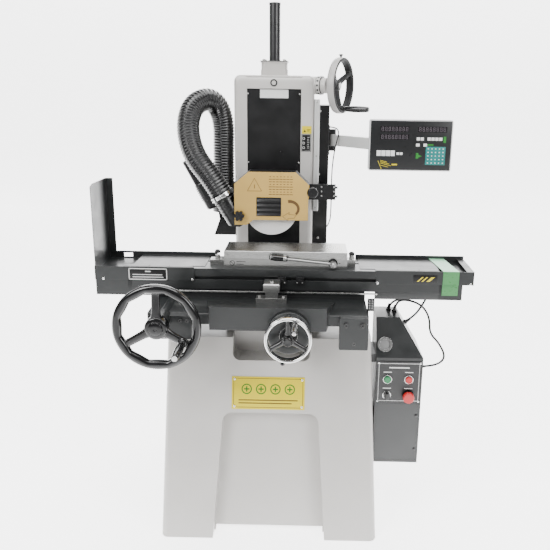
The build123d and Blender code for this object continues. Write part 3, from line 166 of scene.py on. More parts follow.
def enamel(name, colour, roughness=0.32, mottle=0.06, wear=0.25, wear_colour=None, peel=1.0, coat=0.25):
    """Sprayed machine enamel: cloudy tone, orange peel, darker dust specks and rubbed edges."""
    s = Surface(name, roughness, coat=coat, coat_roughness=0.12)
    s.soft_edges(1.6 * MM)
    clouds = s.noise(3.5, 4.0)
    specks = s.noise(60.0, 5.0, 0.7)
    base = s.mix(s.ramp(clouds, 0.35, 0.65), tint(colour, 1 - mottle), tint(colour, 1 + mottle))
    base = s.mix(s.ramp(specks, 0.58, 0.78, 0.0, 0.35), base, tint(colour, 1 - 2.2 * mottle))
    rubbed = s.math("MULTIPLY", s.edge_mask(2.2 * MM), s.ramp(s.noise(45.0, 4.0), 0.42, 0.62))
    base = s.mix(s.math("MULTIPLY", rubbed, wear), base, wear_colour or tint(colour, 1.7))
    s.colour(base)
    s.rough(s.ramp(s.noise(14.0, 4.0), 0.3, 0.7, roughness - 0.06, roughness + 0.09))
    s.bump(s.noise(420.0, 2.0), 0.12 * MM * peel, 0.35)
    s.bump(s.noise(22.0, 2.0), 0.8 * MM * peel, 0.12)
    return s.material


def cast(name, colour, roughness=0.62):
    """Bare dark iron casting with a sandy skin and a painted highlight on every sharp edge."""
    s = Surface(name, roughness, metallic=0.45)
    s.soft_edges(1.5 * MM)
    grain = s.noise(260.0, 4.0, 0.7)
    base = s.mix(s.ramp(s.noise(9.0, 4.0), 0.35, 0.65), tint(colour, 0.85), tint(colour, 1.2))
    # Every sharp edge is lightened evenly towards a pale grey: a painted highlight.
    painted_edge_highlight = s.math("MULTIPLY", s.edge_mask(2.5 * MM), 0.55)
    s.colour(s.mix(painted_edge_highlight, base, (0.32, 0.32, 0.31, 1)))
    s.rough(s.ramp(grain, 0.3, 0.7, roughness - 0.1, roughness + 0.12))
    s.bump(grain, 0.35 * MM, 0.5)
    return s.material


def machined(name, colour, roughness=0.28, stretch=(1, 26, 26), scale=70.0, smear=0.1, metallic=1.0):
    """Cut or ground metal: fine marks along one axis, faint stains and bright edges."""
    s = Surface(name, roughness, metallic=metallic)
    s.soft_edges(0.8 * MM)
    marks = s.noise(scale, 3.0, 0.6, stretch)
    stains = s.noise(18.0, 5.0, 0.65)
    base = s.mix(s.ramp(marks, 0.3, 0.7), tint(colour, 1 - smear), tint(colour, 1 + smear))
    base = s.mix(s.ramp(stains, 0.52, 0.75, 0.0, 0.3), base, tint(colour, 0.68))
    s.colour(base)
    s.rough(s.ramp(marks, 0.25, 0.75, roughness - 0.07, roughness + 0.1))
    s.bump(marks, 0.05 * MM, 0.5)
    return s.material


def bright(name, colour=(0.83, 0.83, 0.82), roughness=0.09):
    """Polished plating with faint haze and fingerprints."""
    s = Surface(name, roughness, metallic=1.0)
    s.soft_edges(0.8 * MM)
    haze = s.noise(34.0, 5.0, 0.7)
    s.colour(s.mix(s.ramp(haze, 0.4, 0.7), tint(colour, 1.0), tint(colour, 0.86)))
    s.rough(s.ramp(haze, 0.35, 0.75, roughness, roughness + 0.16))
    s.bump(s.noise(300.0, 2.0), 0.03 * MM, 0.3)
    return s.material


def plastic(name, colour, roughness=0.3, grain=0.1, grain_scale=900.0, coat=0.0, mottle=0.08):
    """Moulded plastic: fine moulded grain, slight tone change and a dusty film."""
    s = Surface(name, roughness, coat=coat, coat_roughness=0.08)
    s.soft_edges(0.7 * MM)
    film = s.noise(20.0, 4.0, 0.65)
    s.colour(s.mix(s.ramp(film, 0.38, 0.68), tint(colour, 1 - mottle), tint(colour, 1 + 1.6 * mottle)))
    s.rough(s.ramp(film, 0.3, 0.7, max(0.04, roughness - 0.05), roughness + 0.1))
    s.bump(s.noise(grain_scale, 2.0), grain * MM, 0.35)
    return s.material


def abrasive(name):
    """Vitrified grit bonded into a wheel: light grains, pores and dark specks."""
    s = Surface(name, 0.85)
    grit = s.node("TexVoronoi", Vector=s.place(), Scale=1400.0).outputs["Distance"]
    grains = s.noise(1100.0, 3.0, 0.7)
    base = s.mix(s.ramp(grains, 0.35, 0.65), (0.62, 0.61, 0.6, 1), (0.9, 0.895, 0.88, 1))
    base = s.mix(s.ramp(s.noise(500.0, 2.0), 0.66, 0.74), base, (0.34, 0.33, 0.33, 1))
    s.colour(base)
    s.bump(grit, 0.5 * MM, 0.6)
    return s.material


def printed(name, colour, roughness=0.35, metallic=0.0):
    """A printed or anodised plate: near-even colour with fine grain and faint scuffs."""
    s = Surface(name, roughness, metallic=metallic)
    scuffs = s.noise(90.0, 5.0, 0.7, (1, 6, 1))
    s.colour(s.mix(s.ramp(scuffs, 0.5, 0.8, 0.0, 0.5), tint(colour, 1.0), tint(colour, 0.84)))
    s.rough(s.ramp(scuffs, 0.3, 0.7, max(0.05, roughness - 0.06), roughness + 0.08))
    s.bump(s.noise(700.0, 2.0), 0.03 * MM, 0.3)
    return s.material


GREY = (0.47, 0.455, 0.435)
CHARCOAL = (0.0125, 0.0138, 0.0140)
BLACK = (0.0035, 0.0035, 0.0040)
STEEL = (0.44, 0.44, 0.43)

FINISH = {
    "enamel_grey": enamel("finish_enamel_grey", GREY, 0.34, 0.035, 0.2, peel=1.2),
    "tube_grey": enamel("finish_tube_grey", (0.010, 0.010, 0.011), 0.3, 0.08, 0.2),
    "scale_grey": printed("finish_scale_grey", (0.62, 0.62, 0.61), 0.34, 0.3),
    "enamel_charcoal": enamel("finish_enamel_charcoal", CHARCOAL, 0.36, 0.16, 0.16),
    "table_charcoal": enamel("finish_table_charcoal", CHARCOAL, 0.34, 0.16, 0.16),
    "panel_charcoal": enamel("finish_panel_charcoal", (0.004, 0.004, 0.0045), 0.42, 0.1, 0.1),
    "enamel_black": enamel("finish_enamel_black", BLACK, 0.33, 0.2, 0.2),
    "enamel_tan": enamel("finish_enamel_tan", (0.50, 0.325, 0.085), 0.36, 0.07, 0.3),
    "machined_steel": machined("finish_machined_steel", STEEL, 0.3),
    "ground_steel": machined("finish_ground_steel", (0.52, 0.52, 0.51), 0.26, (1, 40, 40), 60.0, 0.06),
    "iron_dark": cast("finish_iron_dark", (0.022, 0.022, 0.023)),
    "chrome": bright("finish_chrome"),
    "gloss_black": enamel(
        "finish_gloss_black", (0.0016, 0.0016, 0.0020), 0.13, 0.2, 0.1, peel=0.5, coat=0.55
    ),
    "plastic_black": plastic("finish_plastic_black", (0.0035, 0.0035, 0.004), 0.22, coat=0.25),
    "plastic_green": plastic("finish_plastic_green", (0.004, 0.15, 0.045), 0.3, coat=0.2),
    "plastic_red": plastic("finish_plastic_red", (0.42, 0.006, 0.006), 0.3, coat=0.2),
    "console_grey": plastic("finish_console_grey", (0.5, 0.5, 0.5), 0.45, 0.2),
    "arm_grey": enamel("finish_arm_grey", (0.52, 0.52, 0.51), 0.34, 0.05, 0.2),
    "abrasive": abrasive("finish_abrasive"),
    "hose_black": plastic("finish_hose_black", (0.0035, 0.0035, 0.004), 0.24, 0.03, 90.0, coat=0.4),
    "cable_black": plastic("finish_cable_black", (0.004, 0.004, 0.0045), 0.4, 0.08),
    "cap_white": plastic("finish_cap_white", (0.72, 0.72, 0.71), 0.3, coat=0.3),
    "rim_grey": enamel("finish_rim_grey", (0.36, 0.35, 0.34), 0.4, 0.08, 0.4, peel=1.4),
    "socket_grey": plastic("finish_socket_grey", (0.20, 0.20, 0.20), 0.45, 0.1),
    "label_white": printed("finish_label_white", (0.68, 0.68, 0.67), 0.4),
    "label_black": printed("finish_label_black", (0.003, 0.003, 0.003), 0.3),
    "label_yellow": printed("finish_label_yellow", (0.62, 0.50, 0.008), 0.34),
    "print_brown": printed("finish_print_brown", (0.10, 0.05, 0.012), 0.5),
    "print_green": printed("finish_print_green", (0.015, 0.16, 0.012), 0.45),
    "ledge_grey": machined("finish_ledge_grey", (0.14, 0.14, 0.14), 0.42, (1, 14, 14), 60.0, 0.14, 0.7),
    "brass_line": machined("finish_brass_line", (0.42, 0.38, 0.30), 0.34, (20, 1, 20), 60.0, 0.08),
    # The same green tape in two tones: a lighter copy carries painted light for its top face, a darker copy
    # carries painted shade for its front faces.
    "tape_painted_lit": printed("finish_tape_light", (0.28, 0.60, 0.37), 0.3),
    "tape_painted_shade": printed("finish_tape_dark", (0.055, 0.21, 0.07), 0.3),
    "membrane": printed("finish_membrane", (0.007, 0.0075, 0.008), 0.32),
    "window_glass": plastic("finish_window_glass", (0.006, 0.005, 0.006), 0.12, 0.01, coat=0.4),
    "segment_grey": printed("finish_segment_grey", (0.11, 0.095, 0.11), 0.35),
    "key_teal": plastic("finish_key_teal", (0.008, 0.17, 0.16), 0.35, 0.1),
    "mark_green": printed("finish_mark_green", (0.015, 0.17, 0.02), 0.4),
}


def dress_cad_nodes():
    """Every CAD node takes its slot's finish, shaded smooth across its curved faces."""
    for part in frame["record"]["subparts"]:
        piece = frame["nodes"][part["node"]]
        piece.data.materials.clear()
        piece.data.materials.append(FINISH[part["material_slot"]])
        piece.data.set_sharp_from_angle(angle=math.radians(SHARP))


# ---- mesh helpers ---------------------------------------------------------


def spot(x, y, z):
    """A place given in millimetres."""
    return Vector((x, y, z)) * MM


def shift(x, y, z):
    """A move given in millimetres."""
    return Matrix.Translation(spot(x, y, z))


def facing(place, normal, above=UP):
    """A placing matrix: local Z along normal, local Y as close to above as it can be."""
    out = Vector(normal).normalized()
    side = Vector(above).cross(out).normalized()
    turn = Matrix((side, out.cross(side), out)).transposed().to_4x4()
    return Matrix.Translation(Vector(place)) @ turn


def on_front(x, y, z):
    """A placing matrix on a face that looks at the operator."""
    return facing(spot(x, y, z), FRONT)


def circle(count):
    """Cosine and sine of even steps round a full turn."""
    return [(math.cos(turn), math.sin(turn)) for turn in (2 * math.pi * k / count for k in range(count))]


def bridge(bm, one, two, index=0):
    """Faces between two rings that have as many points each."""
    for k in range(len(one)):
        after = (k + 1) % len(one)
        bm.faces.new((one[k], one[after], two[after], two[k])).material_index = index


def finish_piece(name, bm, body, *finishes, slot=None, sharp=SHARP):
    """Turns a bmesh into a piece that rides on a body, or on none if no body is given.

    finishes are names in FINISH, in the order of the faces' material indices.
    """
    bmesh.ops.recalc_face_normals(bm, faces=bm.faces)
    mesh = bpy.data.meshes.new(name)
    bm.to_mesh(mesh)
    bm.free()
    for finish in finishes:
        mesh.materials.append(FINISH[finish])
    mesh.shade_smooth()
    mesh.set_sharp_from_angle(angle=math.radians(sharp))
    piece = bpy.data.objects.new(name, mesh)
    bpy.context.scene.collection.objects.link(piece)
    if body:
        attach(piece, body)
    return piece


def slab(bm, matrix, size, bevel=0.0, index=0):
    """A box with its back face on the matrix's plane, size across, up and out."""
    made = bmesh.ops.create_cube(bm, size=1.0)["verts"]
    shape = matrix @ shift(0, 0, size[2] / 2) @ Matrix.Diagonal((*spot(*size), 1.0))
    bmesh.ops.transform(bm, matrix=shape, verts=made)
    faces = {face for vert in made for face in vert.link_faces}
    for face in faces:
        face.material_index = index
    if bevel:
        edges = {edge for face in faces for edge in face.edges}
        bmesh.ops.bevel(bm, geom=list(edges), offset=bevel * MM, segments=3, affect="EDGES", profile=0.5)


def lathe(bm, matrix, profile, segments=48, index=0):
    """A closed turned body about local Z; profile is (radius, height), from axis to axis."""
    rings = []
    for radius, height in profile:
        steps = circle(segments) if radius > 1e-4 else [(0, 0)]
        rings.append([bm.verts.new(matrix @ spot(radius * c, radius * s, height)) for c, s in steps])
    for one, two in zip(rings, rings[1:]):
        for step in range(segments):
            after = (step + 1) % segments
            corners = (
                one[step % len(one)], one[after % len(one)], two[after % len(two)], two[step % len(two)],
            )
            unique = list(dict.fromkeys(corners))
            if len(unique) > 2:
                bm.faces.new(unique).material_index = index


def washer(bm, matrix, outer, inner, height, soft=0.4, segments=48, index=0):
    """A closed ring about local Z, standing on the matrix's plane, its top edges cut by soft."""
    section = (
        (inner, 0), (outer, 0), (outer, height - soft), (outer - soft, height),
        (inner + soft, height), (inner, height - soft),
    )
    rings = [
        [bm.verts.new(matrix @ spot(radius * c, radius * s, z)) for c, s in circle(segments)]
        for radius, z in section
    ]
    for one, two in zip(rings, rings[1:] + rings[:1]):
        bridge(bm, one, two, index)


def prism(bm, matrix, outline, depth, index=0):
    """A flat outline in local X, Y given a depth along local Z."""
    low = [bm.verts.new(matrix @ spot(x, y, 0)) for x, y in outline]
    top = [bm.verts.new(matrix @ spot(x, y, depth)) for x, y in outline]
    bm.faces.new(list(reversed(low))).material_index = index
    bm.faces.new(top).material_index = index
    bridge(bm, low, top, index)


def screw_head(bm, matrix, radius, height):
    """A cap screw's head with a hexagon socket's recess."""
    socket = 0.55 * radius
    floor = 0.35 * height
    lathe(bm, matrix, (
        (0, 0), (radius, 0), (radius, height * 0.75), (radius * 0.88, height),
        (socket, height), (socket * 0.9, floor), (0, floor),
    ), 24)


def pan_head(bm, matrix, radius, height):
    """A domed screw head."""
    profile = [(0, 0), (radius, 0)]
    for step in range(4):
        turn = math.radians(22.5) * step
        profile.append((radius * math.cos(turn) * 0.999, height * (0.3 + 0.7 * math.sin(turn))))
    profile.append((0, height))
    lathe(bm, matrix, profile, 20)


# ---- dust hose and cables -------------------------------------------------


def swept(points):
    """Each point of a path with the two directions across it, carried along without twist."""
    tangents = []
    for i, point in enumerate(points):
        before = points[max(0, i - 1)]
        after = points[min(len(points) - 1, i + 1)]
        tangents.append((after - before).normalized())
    side = tangents[0].cross(UP)
    if side.length < 1e-3:
        side = tangents[0].cross(RIGHT)
    side.normalize()
    rows = []
    for i, point in enumerate(points):
        side = (side - tangents[i] * side.dot(tangents[i])).normalized()
        rows.append((point, side, tangents[i].cross(side)))
    return rows


def nurbs_line(name, route, radius=0):
    """A curve object: one open NURBS spline with the route as its control points."""
    data = bpy.data.curves.new(name, "CURVE")
    data.dimensions = "3D"
    data.bevel_depth = radius
    data.bevel_resolution = 5
    data.use_fill_caps = True
    spline = data.splines.new("NURBS")
    spline.points.add(len(route) - 1)
    for point, place in zip(spline.points, route):
        point.co = (*[c * MM for c in place], 1)
    spline.order_u = 3
    spline.use_endpoint_u = True
    spline.resolution_u = 14
    line = bpy.data.objects.new(name, data)
    bpy.context.scene.collection.objects.link(line)
    return line


def line_points(route, gap):
    """Points of the route's NURBS line, an even gap apart."""
    line = nurbs_line("route_reader", route)
    bpy.context.view_layer.update()
    mesh = bpy.data.meshes.new_from_object(line)
    raw = [vert.co.copy() for vert in mesh.vertices]
    bpy.data.objects.remove(line)
    bpy.data.meshes.remove(mesh)
    lengths = [0.0]
    for one, two in zip(raw, raw[1:]):
        lengths.append(lengths[-1] + (two - one).length)
    count = max(2, round(lengths[-1] / gap))
    points, k = [], 0
    for step in range(count + 1):
        want = lengths[-1] * step / count
        while k < len(raw) - 2 and lengths[k + 1] < want:
            k += 1
        share = (want - lengths[k]) / max(1e-9, lengths[k + 1] - lengths[k])
        points.append(raw[k].lerp(raw[k + 1], min(1, share)))
    return points, lengths[-1]


SPIGOT = Vector((-140, 30, 1056))
SPIGOT_AXIS = Vector((-0.5, 0, 0.8660254))
SPIGOT_ACROSS = Vector((0.8660254, 0, 0.5))
HOSE_ROUTE = (
    tuple(SPIGOT + 114 * SPIGOT_AXIS),
    tuple(SPIGOT + 200 * SPIGOT_AXIS),
    (-322, 60, 1322),
    (-352, 112, 1432),
    (-330, 170, 1515),
    (-262, 228, 1532),
    (-225, 262, 1450),
    (-230, 268, 1300),
    (-229, 266, 1104),
)
HOSE_R = 44 * MM
RIB_PITCH = 11.5 * MM
RIB_DEPTH = 3.4 * MM
HOSE_WALL = 1.2 * MM
HOSE_SIDES = 44


def make_hose():
    """A ribbed hose: rounded ribs with a flat valley between them, open at both ends."""
    steps = 10
    points, length = line_points(HOSE_ROUTE, RIB_PITCH / steps)
    bm = bmesh.new()
    outer, inner = [], []
    for i, (point, side, other) in enumerate(swept(points)):
        crest = 0.5 + 0.5 * math.cos(2 * math.pi * (i % steps) / steps)
        outside = HOSE_R - RIB_DEPTH * (1 - crest)
        for skin, radius in ((outer, outside), (inner, HOSE_R - RIB_DEPTH - HOSE_WALL)):
            skin.append([
                bm.verts.new(point + radius * (c * side + s * other)) for c, s in circle(HOSE_SIDES)
            ])
    for skin in (outer, inner):
        for one, two in zip(skin, skin[1:]):
            bridge(bm, one, two)
    bridge(bm, outer[0], inner[0])
    bridge(bm, outer[-1], inner[-1])
    hose = finish_piece("dust_hose_ribbed", bm, None, "hose_black", sharp=170)
    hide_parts("dust_hose")
    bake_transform(hose)


CABLE_LOOP = (
    (554, -150, 556), (612, -150, 556), (658, -151, 590), (628, -152, 652),
    (588, -152, 692), (586, -150, 752), (556, -144, 800), (500, -134, 818),
    (460, -122, 806), (456, -118, 764),
)
CABLE_REAR_TOP = (
    (436, -100, 764), (440, -98, 792), (486, -84, 806), (548, -34, 808),
    (578, 50, 806), (556, 150, 802), (478, 226, 800), (380, 262, 804),
    (284, 286, 812), (204, 306, 832), (182, 314, 880), (182, 316, 930),
)
CABLE_REAR_SIDE = (
    (497, -120, 722), (536, -118, 750), (566, -100, 790), (596, -40, 810),
    (610, 50, 808), (580, 160, 804), (492, 252, 802), (388, 290, 806),
    (288, 314, 816), (210, 336, 836), (182, 348, 880), (181, 350, 930),
)
SIGNAL_ROUTE = (
    (207.5, 284, 1421), (234, 268, 1421), (245, 247, 1400), (230, 243, 1345),
    (221, 244, 1282), (218, 246, 1212), (219, 248, 1140), (219, 254, 1076),
    (217, 268, 1030), (204, 282, 1004),
)


def make_cable(name, route, radius, node):
    """A round cable along its route, standing for a cable of the CAD."""
    cable = nurbs_line(name, route, radius)
    cable.data.materials.append(FINISH["cable_black"])
    length = line_points(route, 2 * MM)[1]
    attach(cable, "machine_base")
    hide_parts(node)


def make_glands():
    """Strain reliefs: a hexagon nut and a tapering ribbed sleeve at each end of each cable."""
    bm = bmesh.new()
    ends = []
    for route in (CABLE_LOOP, CABLE_REAR_TOP, CABLE_REAR_SIDE):
        ends.append((route[0], route[1]))
        ends.append((route[-1], route[-2]))
    for end, after in ends:
        place = Vector(end) * MM
        matrix = facing(place, Vector(after) - Vector(end), (0.3, 0.9, 0.2))
        lathe(bm, matrix, ((0, 0), (10, 0), (10, 6), (8.5, 7), (0, 7)), 6)
        profile = [(0, 6.5)]
        for step in range(13):
            height = 7 + 1.6 * step
            radius = 7.4 - 0.22 * step - (0.8 if step % 2 else 0.0)
            profile.append((radius, height))
        profile.append((0, profile[-1][1]))
        lathe(bm, matrix, profile, 24)
    finish_piece("cable_glands", bm, "machine_base", "plastic_black")


# ---- hand wheels ----------------------------------------------------------


# w holds a wheel's sizes about local Z, with the rim's front face at Z = 0: the rim's outer radius,
# width (rim) and depth, the count (lobes) and depth (wave) of its finger grips, the hub's radius and
# ends, the spokes' width, their height at the hub (dish) and the first one's direction in degrees.


def rim_mesh(bm, matrix, w, index=0, side_index=None):
    """The rim: an oval section whose inner side waves in finger grips."""
    around, across = 240, 20
    rings = []
    for i in range(around):
        turn = 2 * math.pi * i / around
        wave = abs(math.cos(w.lobes * turn / 2)) if w.lobes else 0.0
        inner = w.radius - w.rim - w.wave * wave
        mid, half = (w.radius + inner) / 2, (w.radius - inner) / 2
        ring = []
        for k in range(across):
            a = 2 * math.pi * k / across
            c, s = math.cos(a), math.sin(a)
            r = mid + half * math.copysign(abs(c) ** 0.75, c)
            z = -w.depth / 2 + w.depth / 2 * math.copysign(abs(s) ** 0.75, s)
            ring.append(bm.verts.new(matrix @ spot(r * math.cos(turn), r * math.sin(turn), z)))
        rings.append(ring)
    for i, one in enumerate(rings):
        two = rings[(i + 1) % around]
        for k in range(across):
            j = (k + 1) % across
            face = bm.faces.new((one[k], one[j], two[j], two[k]))
            middle = (k + 0.5) / across * 2 * math.pi
            on_side = side_index is not None and math.cos(middle) > -0.35 and math.sin(middle) < 0.72
            face.material_index = side_index if on_side else index


def spoke_mesh(bm, matrix, w, turn):
    """One spoke: an oval bar that swells into the hub and the rim."""
    out = Vector((math.cos(turn), math.sin(turn), 0))
    side = Vector((-math.sin(turn), math.cos(turn), 0))
    start, end = w.hub_r * 0.7, w.radius - w.rim * 0.6
    steps, across = 18, 20
    rings = []
    for i in range(steps + 1):
        t = i / steps
        r = start + (end - start) * t
        swell = 1 + 0.30 * math.exp(-((t / 0.16) ** 2)) + 0.55 * math.exp(-(((1 - t) / 0.10) ** 2))
        wide = w.spoke / 2 * (1.12 - 0.18 * t) * swell
        thick = w.depth * (0.30 - 0.06 * t) * (1 + 0.2 * math.exp(-(((1 - t) / 0.1) ** 2)))
        z = w.dish + (-w.depth / 2 - w.dish) * t * t * (3 - 2 * t)
        ring = []
        for k in range(across):
            a = 2 * math.pi * k / across
            c, s = math.cos(a), math.sin(a)
            shape = math.copysign(abs(c) ** 0.7, c), math.copysign(abs(s) ** 0.7, s)
            reach = out * r + side * wide * shape[0] + UP * (z + thick * shape[1])
            ring.append(bm.verts.new(matrix @ (reach * MM)))
        rings.append(ring)
    for one, two in zip(rings, rings[1:]):
        bridge(bm, one, two)
    bm.faces.new(list(reversed(rings[0])))
    bm.faces.new(rings[-1])


def hub_mesh(bm, matrix, w):
    """The hub: a turned boss with a stepped face, a recess and the shaft's nut."""
    r, low, high = w.hub_r, w.hub_low, w.hub_high
    lathe(bm, matrix, (
        (0, low), (r * 0.92, low), (r, low + 2), (r, high - 5), (r * 0.96, high - 2),
        (r * 0.88, high), (r * 0.58, high), (r * 0.52, high - 2.5), (r * 0.42, high - 2.5), (0, high - 2.5),
    ), 56)
    lathe(bm, matrix, (
        (0, high - 3), (r * 0.36, high - 3), (r * 0.36, high + 2), (r * 0.3, high + 4),
        (r * 0.12, high + 4), (r * 0.1, high + 1), (0, high + 1),
    ), 6)


def make_wheel(wheel, matrix, w, face, side=None, rim_finish=None, extra=None, slot="gloss_black"):
    """One cast hand wheel: rim, three spokes, hub, and what extra adds to its mesh."""
    bm = bmesh.new()
    materials = [face]
    rim_index = 0
    side_index = None
    if rim_finish:
        materials.append(rim_finish)
        rim_index = 1
    if side:
        materials.append(side)
        side_index = len(materials) - 1
    rim_mesh(bm, matrix, w, rim_index, side_index)
    for step in range(3):
        spoke_mesh(bm, matrix, w, math.radians(w.first + 120 * step))
    hub_mesh(bm, matrix, w)
    if extra:
        extra(bm)
    casting = finish_piece(f"{wheel}_wheel_casting", bm, f"{wheel}_wheel", *materials, slot=slot, sharp=40)
    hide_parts(f"{wheel}_handwheel")


def grip_mesh(bm, matrix, length, tail, belly, end):
    """A turned revolving handle with a swelling belly and a collar at its foot."""
    profile = [(0, 0), (tail * 1.15, 0), (tail * 1.2, length * 0.02), (tail * 1.02, length * 0.05)]
    for step in range(15):
        t = step / 14
        swell = math.sin(math.pi * min(1.0, t * 0.92 + 0.02)) ** 0.8
        radius = tail + (belly - tail) * swell if t < 0.62 else end + (belly - end) * swell
        profile.append((radius, length * (0.06 + 0.90 * t)))
    profile += [(end * 0.92, length * 0.985), (end * 0.7, length), (0, length)]
    lathe(bm, matrix, profile, 40)


def make_grip(wheel, place, along, length, *radii):
    """The turning handle of one hand wheel; gives the placing matrix of its tip."""
    bm = bmesh.new()
    grip_mesh(bm, facing(place, along), length, *radii)
    handle = finish_piece(f"{wheel}_grip_turned", bm, f"{wheel}_grip", "plastic_black")
    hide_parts(f"{wheel}_handle")
    return facing(place + along * length * MM, along)


TABLE_SHAFT_X, TABLE_SHAFT_Z = -365, 814
CROSS_SHAFT_X, CROSS_SHAFT_Z = 66, 780
SCREW_X, SCREW_Y = -22, 318  # the lifting screw's axis
TABLE_WHEEL_AT = spot(TABLE_SHAFT_X, -482, TABLE_SHAFT_Z)
CROSS_WHEEL_AT = spot(CROSS_SHAFT_X, -487, CROSS_SHAFT_Z)
HORN_TURN = math.radians(24.5)
HORN = Vector((math.cos(HORN_TURN), -math.sin(HORN_TURN), 0))
HORN_BASE = spot(SCREW_X, SCREW_Y, 1585)

# Planes of the faces that look at the operator.
COLUMN_FRONT = 200
GUARD_FRONT = -8
CHUCK_FRONT = -161
TRAY_FRONT = -192
BLOCK_FRONT = -396
BOX_FRONT = -250
PANEL_FRONT = -253
READOUT_FRONT = -41
LEVER_X, LEVER_Z = 218, 960  # the chuck lever's axis
BUTTON_COLUMNS = (426, 504.5)


def make_table_wheel():
    w = SimpleNamespace(
        radius=147, rim=27, depth=30, lobes=12, wave=5, hub_r=38,
        hub_low=-34, hub_high=4, spoke=27, dish=-12, first=90,
    )
    matrix = facing(TABLE_WHEEL_AT, FRONT)
    turn = math.radians(-30)
    grip = spot(TABLE_SHAFT_X + 98 * math.cos(turn), -489, TABLE_SHAFT_Z + 98 * math.sin(turn))

    def boss(bm):
        lathe(bm, facing(TABLE_WHEEL_AT, FRONT), (
            (0, 0), (24, 0), (24, 7), (22, 10), (14, 12), (6, 12), (5, 10), (0, 10)))
        lathe(bm, facing(grip + spot(0, 18, 0), FRONT), (
            (0, 0), (15, 0), (16, 3), (15, 14), (12, 17.4), (0, 17.4)))

    make_wheel("table", matrix, w, "gloss_black", extra=boss)
    tip = make_grip("table", grip, FRONT, 122, 10.5, 14, 10)
    bm = bmesh.new()
    lathe(bm, tip, ((0, -1), (8.6, -1), (8.6, 1.6), (7, 3.2), (0, 3.6)), 32)
    finish_piece("table_grip_cap", bm, "table_grip", "cap_white", slot="chrome")


def make_cross_wheel():
    w = SimpleNamespace(
        radius=79.5, rim=13, depth=30, lobes=0, wave=0, hub_r=21,
        hub_low=-40, hub_high=-6, spoke=16, dish=-16, first=90,
    )
    matrix = facing(CROSS_WHEEL_AT, FRONT)
    turn = math.radians(70)
    grip = spot(CROSS_SHAFT_X + 62 * math.cos(turn), -488.5, CROSS_SHAFT_Z + 62 * math.sin(turn))

    def extras(bm):
        lathe(bm, facing(CROSS_WHEEL_AT, FRONT), (
            (0, -8), (14, -8), (14, 14), (12, 17), (4, 17), (0, 16)), 40)
        lathe(bm, facing(grip + spot(0, 16, 0), FRONT), (
            (0, 0), (11, 0), (11, 13), (9, 15.4), (0, 15.4)), 32)
        knob = facing(spot(48, -472, 706), (0, 0, -1), FRONT)
        lathe(bm, knob, ((0, 0), (6, 0), (6, 6), (8, 10), (7, 15), (0, 16)), 24)

    make_wheel("cross", matrix, w, "gloss_black",
               rim_finish="chrome", extra=extras, slot="chrome")
    tip = make_grip("cross", grip, FRONT, 83, 8, 10, 7)
    bm = bmesh.new()
    lathe(bm, tip, ((0, -1), (6, -1), (6, 1.2), (4.6, 2.6), (0, 2.8)), 28)
    finish_piece("cross_grip_cap", bm, "cross_grip", "chrome")


def make_elevating_wheel():
    w = SimpleNamespace(
        radius=107, rim=15, depth=32, lobes=0, wave=0, hub_r=22,
        hub_low=-62, hub_high=-22, spoke=20, dish=-32, first=270,
    )
    face = HORN_BASE + HORN * 307 * MM
    matrix = facing(face, HORN)
    grip = HORN_BASE + HORN * 309 * MM + spot(0, 0, -88)

    def extras(bm):
        lathe(bm, facing(grip - HORN * 22 * MM, HORN), (
            (0, 0), (12, 0), (13, 4), (12, 18), (10, 21.4), (0, 21.4)), 36)
        knob = facing(face - HORN * 18 * MM + spot(0, 0, 104), UP, FRONT)
        lathe(bm, knob, ((0, 0), (4, 0), (4, 7), (8, 9), (8, 13), (0, 15)), 24)

    make_wheel("elevating", matrix, w,
               "iron_dark", side="rim_grey", extra=extras, slot="iron_dark")
    make_grip("elevating", grip, HORN, 103, 9.5, 12.5, 9.5)


# ---- plates, labels and screws ---------------------------------------------


def lines(bm, matrix, width, count, gap, thick, out, ragged=(1.0,), index=0):
    """Rows of plain bars that stand for print."""
    for row in range(count):
        share = ragged[row % len(ragged)]
        place = matrix @ shift(-(1 - share) * width / 2, -row * gap, 0)
        slab(bm, place, (width * share, thick, out), index=index)


def frame_lines(bm, matrix, width, height, thick, out, index=0):
    """A thin rectangular outline."""
    for side in (-1, 1):
        slab(bm, matrix @ shift(0, side * (height - thick) / 2, 0), (width, thick, out), index=index)
        slab(bm, matrix @ shift(side * (width - thick) / 2, 0, 0), (thick, height, out), index=index)


